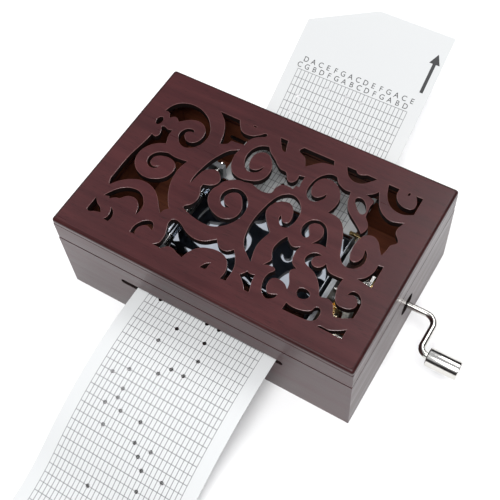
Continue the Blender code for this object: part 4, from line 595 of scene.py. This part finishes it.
# The tip's edge is square from the apex to the right, and slants back from the apex to the left
x, s = flat_points.T
tip_edge = tip_s - np.maximum(APEX_X - x, 0) * (LEFT_CORNER / (APEX_X - strip_low[0]))
share = (s - tip_zone_start) / (tip_s - tip_zone_start)
s[:] = np.where(share > -1e-5, tip_zone_start + share * (tip_edge - tip_zone_start), s)
card_object = mesh_object("punched_card_strip", card_point(x, s), [*cells[~is_punched], *triangles], CARD_SHARP)
layer = card_object.data.uv_layers.new(name="flat_card")
loop_vertex = np.empty(len(card_object.data.loops), np.int32)
card_object.data.loops.foreach_get("vertex_index", loop_vertex)
layer.data.foreach_set("uv", (np.column_stack([x - left_margin, grid_end - s])[loop_vertex] / MM).ravel())
thickness = card_object.modifiers.new("card_thickness", "SOLIDIFY")
thickness.thickness = CARD
thickness.offset = 0
rim = card_object.modifiers.new("crisp_rim", "EDGE_SPLIT")
rim.split_angle = math.radians(CARD_SHARP)

# The print, in millimetres of the flat card: note lines and beat lines, with a dashed line halfway between beats
PITCH_MM, BEAT_MM = NOTE_PITCH / MM, BEAT / MM
LINE_MM, HALF_LINE_MM, DASH_MM, PRINT_MARGIN = 0.28, 0.30, 0.9, 0.1
PRINT_GREY, PRINT_COVER = (0.07, 0.07, 0.075, 1), 0.85
printed_card, tree, shader = new_material("printed_card")
flat_card = node(tree, "ShaderNodeUVMap", uv_map="flat_card").outputs[0]
along_x, along_s = node(tree, "ShaderNodeSeparateXYZ", {0: flat_card}).outputs[:2]


def line_mask(value, pitch, width, first=0.0):
    """1 within half a width of each multiple of the pitch, counted from the first, and 0 between, with a soft edge."""
    moved = combine(tree, value, first, "SUBTRACT")
    return remap(tree, combine(tree, moved, pitch / 2, "PINGPONG"), width * 0.35, width * 0.65, 1.0, 0.0)


note_lines = line_mask(along_x, PITCH_MM, LINE_MM, PITCH_MM / 2)
beat_lines = line_mask(along_s, BEAT_MM, LINE_MM)
half_beats = combine(tree, line_mask(along_x, 1.0, DASH_MM), line_mask(along_s, BEAT_MM, HALF_LINE_MM, BEAT_MM / 2))
past_left = combine(tree, along_x, PITCH_MM / 2 - PRINT_MARGIN, "GREATER_THAN")
before_right = combine(tree, along_x, (NOTES - 0.5) * PITCH_MM + PRINT_MARGIN, "LESS_THAN")
past_top = combine(tree, along_s, -PRINT_MARGIN, "GREATER_THAN")
ink = combine(tree, combine(tree, note_lines, beat_lines, "MAXIMUM"), half_beats, "MAXIMUM")
ink = combine(tree, combine(tree, ink, combine(tree, past_left, before_right)), past_top)
fibre = noise(tree, flat_card, 3.0, 5.0)
stock = two_tone(tree, fibre, (0.57, 0.58, 0.58), (0.64, 0.65, 0.65))
set_sockets(tree, shader, {
    "Base Color": mixed(tree, combine(tree, ink, PRINT_COVER), stock, PRINT_GREY),
    "Normal": raised(tree, fibre, 0.1, 0.00003),
    "Roughness": 0.65,
    "Specular IOR Level": 0.35,
})
card_object.data.materials.append(printed_card)
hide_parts("paper_strip")
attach(card_object, "strip")

# ---------------------------------------------------------------------------------------------------------------------
# The marks on the card's leading end: two staggered rows of note names over their lines, and an arrow that shows the
# way in. They are printed in black, so they are thin flat shapes just above the card.
INK_LIFT = CARD / 2 + 0.00003
TEXT_SIZE = 0.0027 * 1.35
NAME_ROWS = (0.0009, 0.0042)
NAMES = "C D G A B C D E F F G G A A B C C D D E F F G G A A B C D E".split()
ARROW_INSET, ARROW_FOOT, ARROW_POINT = 0.0040, 0.0105, 0.0300
SHAFT_HALF, HEAD_HALF, HEAD_LONG = 0.00080, 0.0026, 0.0050


def take_mesh(drawn):
    """(points, faces) of a curve or a text as Blender fills it, which is then removed."""
    bpy.context.scene.collection.objects.link(drawn)
    bpy.context.view_layer.update()
    mesh = bpy.data.meshes.new_from_object(drawn.evaluated_get(bpy.context.evaluated_depsgraph_get()))
    bpy.data.objects.remove(drawn, do_unlink=True)
    points = np.empty(len(mesh.vertices) * 3)
    mesh.vertices.foreach_get("co", points)
    faces = [tuple(p.vertices) for p in mesh.polygons]
    bpy.data.meshes.remove(mesh)
    return points.reshape(-1, 3), faces


print_ink = speckled_material("black_print", 4000.0, 2.0, (0.012, 0.012, 0.013), (0.035, 0.035, 0.037), 0.6)
marks = Sheets()
for number, name in enumerate(NAMES):
    text = bpy.data.curves.new("note_name", "FONT")
    text.body = name
    text.size = TEXT_SIZE
    text.align_x = "CENTER"
    points, faces = take_mesh(bpy.data.objects.new("note_name", text))
    x = left_margin + (number + 0.5) * NOTE_PITCH + points[:, 0]
    s = grid_end + NAME_ROWS[number % 2] + points[:, 1]
    marks.add(card_point(x, s, INK_LIFT), faces)
neck = ARROW_POINT - HEAD_LONG
arrow = np.array([
    (-SHAFT_HALF, ARROW_FOOT), (SHAFT_HALF, ARROW_FOOT), (SHAFT_HALF, neck), (HEAD_HALF, neck), (0, ARROW_POINT),
    (-HEAD_HALF, neck), (-SHAFT_HALF, neck),
]) + (strip_high[0] - ARROW_INSET, grid_end)
marks.add(card_point(*arrow.T, INK_LIFT), [(0, 1, 2, 6), (6, 2, 3, 4, 5)])
marks_object = marks.object("card_print", [print_ink], merge=1e-7, recalc=False)
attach(marks_object, "strip")

# ---------------------------------------------------------------------------------------------------------------------
# The lid: four low mahogany walls like the case's, and a thin board glued on top of them. The board is sawn through
# with scrollwork, its cuts only just eased, and its outer edge is rounded over, with painted shade on the rounding.
EDGE_ROUND, CUT_EASE, CORNER = 0.0014, 0.00018, 0.0012
CORNER_STEPS, ROUND_STEPS = 6, 7
CURVE_STEP, CURVE_CORNER = 0.0006, 34
TOP_FACE, SAWN_FACE, UNDERSIDE, LIP, ROUNDED, SIDE = range(6)
eased_copy("lid_frame", "lid_walls", WALL_EASE, WALL_FINISHES, wall_side)


def rims_of(name, level):
    """The closed outlines, as point arrays, of a CAD node's flat face at one height: edges that only one of its
    triangles has, followed end to end."""
    source = frame["nodes"][name].data
    points = np.empty(len(source.vertices) * 3)
    source.vertices.foreach_get("co", points)
    places, index = np.unique(np.round(points.reshape(-1, 3), 6), axis=0, return_inverse=True)
    index = index.reshape(-1)
    once = {}
    for polygon in source.polygons:
        corners = [int(index[v]) for v in polygon.vertices]
        if all(abs(places[c][2] - level) < 1e-5 for c in corners):
            for a, b in zip(corners, corners[1:] + corners[:1]):
                if (b, a) in once:
                    del once[(b, a)]
                else:
                    once[(a, b)] = True
    following = {a: b for a, b in once}
    loops = []
    while following:
        start, here = next(iter(following.items()))
        del following[start]
        loop = [start]
        while here != start:
            loop.append(here)
            here = following.pop(here)
        loops.append(places[loop][:, :2])
    return loops


def signed_area(loop):
    """Half the sum of neighbouring points' cross products, which is above zero for an anticlockwise outline."""
    x, y = loop.T
    return 0.5 * np.sum(x * np.roll(y, -1) - np.roll(x, -1) * y)


def eased(loop):
    """Catmull-Rom through an outline's points, kept straight into its sharp corners and spaced evenly."""
    loop = loop[np.linalg.norm(loop - np.roll(loop, 1, axis=0), axis=1) > 1e-5]
    before, after, beyond = (np.roll(loop, by, axis=0) for by in (1, -1, -2))
    ahead, behind = after - loop, loop - before
    bend = np.angle((ahead[:, 0] + 1j * ahead[:, 1]) / (behind[:, 0] + 1j * behind[:, 1]))
    sharp = (np.degrees(np.abs(bend)) > CURVE_CORNER)[:, None]
    before = np.where(sharp, 2 * loop - after, before)
    beyond = np.where(np.roll(sharp, -1, axis=0), 2 * after - loop, beyond)
    pieces = np.maximum(1, np.rint(np.linalg.norm(ahead, axis=1) / CURVE_STEP).astype(int))
    owner = np.repeat(np.arange(len(loop)), pieces)
    t = ((np.arange(len(owner)) - (np.cumsum(pieces) - pieces)[owner]) / pieces[owner])[:, None]
    a, b, c, d = before[owner], loop[owner], after[owner], beyond[owner]
    return 0.5 * (2 * b + (c - a) * t + (2 * a - 5 * b + 4 * c - d) * t**2 + (3 * b - a - 3 * c + d) * t**3)


def grown(loop, by):
    """Each point moved out of the outline's left side by a distance, along the mean of its two edges' normals."""
    ahead = np.roll(loop, -1, axis=0) - loop
    behind = loop - np.roll(loop, 1, axis=0)
    both = ahead / np.linalg.norm(ahead, axis=1)[:, None] + behind / np.linalg.norm(behind, axis=1)[:, None]
    normal = np.column_stack([-both[:, 1], both[:, 0]])
    size = np.linalg.norm(normal, axis=1)[:, None]
    return loop + by * np.where(size > 1e-6, normal / np.maximum(size, 1e-6), 0)


def board_outline(inset=0.0):
    """The board's rim moved inwards: corner arcs joined by straight sides, anticlockwise."""
    angle = np.linspace(0, math.pi / 2, CORNER_STEPS) + np.arange(4)[:, None] * math.pi / 2
    middle = np.array([(1, 1), (-1, 1), (-1, -1), (1, -1)]) * (half_x - inset - CORNER, half_y - inset - CORNER)
    return (middle[:, None] + CORNER * np.stack([np.cos(angle), np.sin(angle)], axis=2)).reshape(-1, 2)


def filled(rim, cuts):
    """The flat board between its rim and its cuts, as (points, triangles)."""
    curve = bpy.data.curves.new("panel_face", "CURVE")
    curve.dimensions = "2D"
    curve.fill_mode = "FRONT"
    for loop in (rim, *cuts):
        spline = curve.splines.new("POLY")
        spline.points.add(len(loop) - 1)
        flat = np.column_stack([loop, np.zeros(len(loop)), np.ones(len(loop))])
        spline.points.foreach_set("co", flat.ravel())
        spline.use_cyclic_u = True
    return take_mesh(bpy.data.objects.new("panel_face", curve))


def crease_flats(mesh):
    """Marks the border of every level face as sharp, so that a board stays flat up to its eased edges."""
    level = {p.index for p in mesh.polygons if abs(p.normal[2]) > 0.9999}
    sides = {}
    for p in mesh.polygons:
        for key in p.edge_keys:
            sides.setdefault(key, []).append(p.index in level)
    marks = [edge.use_edge_sharp or len(set(sides[edge.key])) == 2 for edge in mesh.edges]
    mesh.edges.foreach_set("use_edge_sharp", marks)


def at_height(loop, z):
    return np.column_stack([loop, np.full(len(loop), z)])


bottom, top = (corner[2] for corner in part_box("lid_panel"))
outlines = sorted(rims_of("lid_panel", top), key=lambda loop: abs(signed_area(loop)))
holes = [eased(loop if signed_area(loop) < 0 else loop[::-1]) for loop in outlines[:-1]]
lips = [grown(hole, CUT_EASE) for hole in holes]
panel = Sheets()
for level, inset, cuts, mark, order in ((top, EDGE_ROUND, lips, TOP_FACE, 1), (bottom, 0.0, holes, UNDERSIDE, -1)):
    points, faces = filled(board_outline(inset), cuts)
    points[:, 2] = level
    panel.add(points, [face[::order] for face in faces], mark)
rounds = EDGE_ROUND * (1 - np.exp(1j * np.linspace(math.pi / 2, 0, ROUND_STEPS)))
round_rings = [at_height(board_outline(a.real), top - EDGE_ROUND - a.imag) for a in rounds]
panel.loft(round_rings, ROUNDED)
panel.loft([round_rings[-1], at_height(board_outline(), bottom)], SIDE)
for hole, lip in zip(holes, lips):
    eased_part = at_height(grown(hole, CUT_EASE * 0.3), top - CUT_EASE * 0.3)
    cut_top = at_height(hole, top - CUT_EASE)
    panel.loft([at_height(lip, top), eased_part, cut_top], LIP)
    panel.loft([cut_top, at_height(hole, bottom)], SAWN_FACE)
lacquered_top = wood_material(
    "lacquered_mahogany_top", "X", (0.038, 0.0060, 0.0075), (0.056, 0.0100, 0.0112), gloss=0.3
)
# The rounded outer edge is painted darker than the top: painted shade for the curve that turns away from the light.
shade_painted_round_edge = wood_material("round_edge_painted_shade", "X", (0.022, 0.0045, 0.0050), (0.040, 0.0080, 0.0085), gloss=0.2)
# The board's underside is painted near-black with a cool tint: painted shade, so the mirror-steel cover shows it dark
# navy.
shade_painted_underside = wood_material("lid_underside_painted_shade", "X", (0.010, 0.013, 0.020), (0.020, 0.024, 0.034), sheen=0.6)
# The eased lips of the cuts are painted far lighter than the top: a painted highlight for the glint lines at the cut
# edges.
glint_painted_lip = wood_material("cut_lip_painted_glint", "X", (0.10, 0.032, 0.030), (0.16, 0.055, 0.050), coat=0.4, sheen=0.35)
panel_finishes = [lacquered_top, shade_painted_cut_edge, shade_painted_underside, glint_painted_lip, shade_painted_round_edge, lacquered_side]
panel_object = panel.object("pierced_lid_board", panel_finishes, merge=1e-6)
crease_flats(panel_object.data)
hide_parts("lid_panel")
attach(panel_object, "lid")
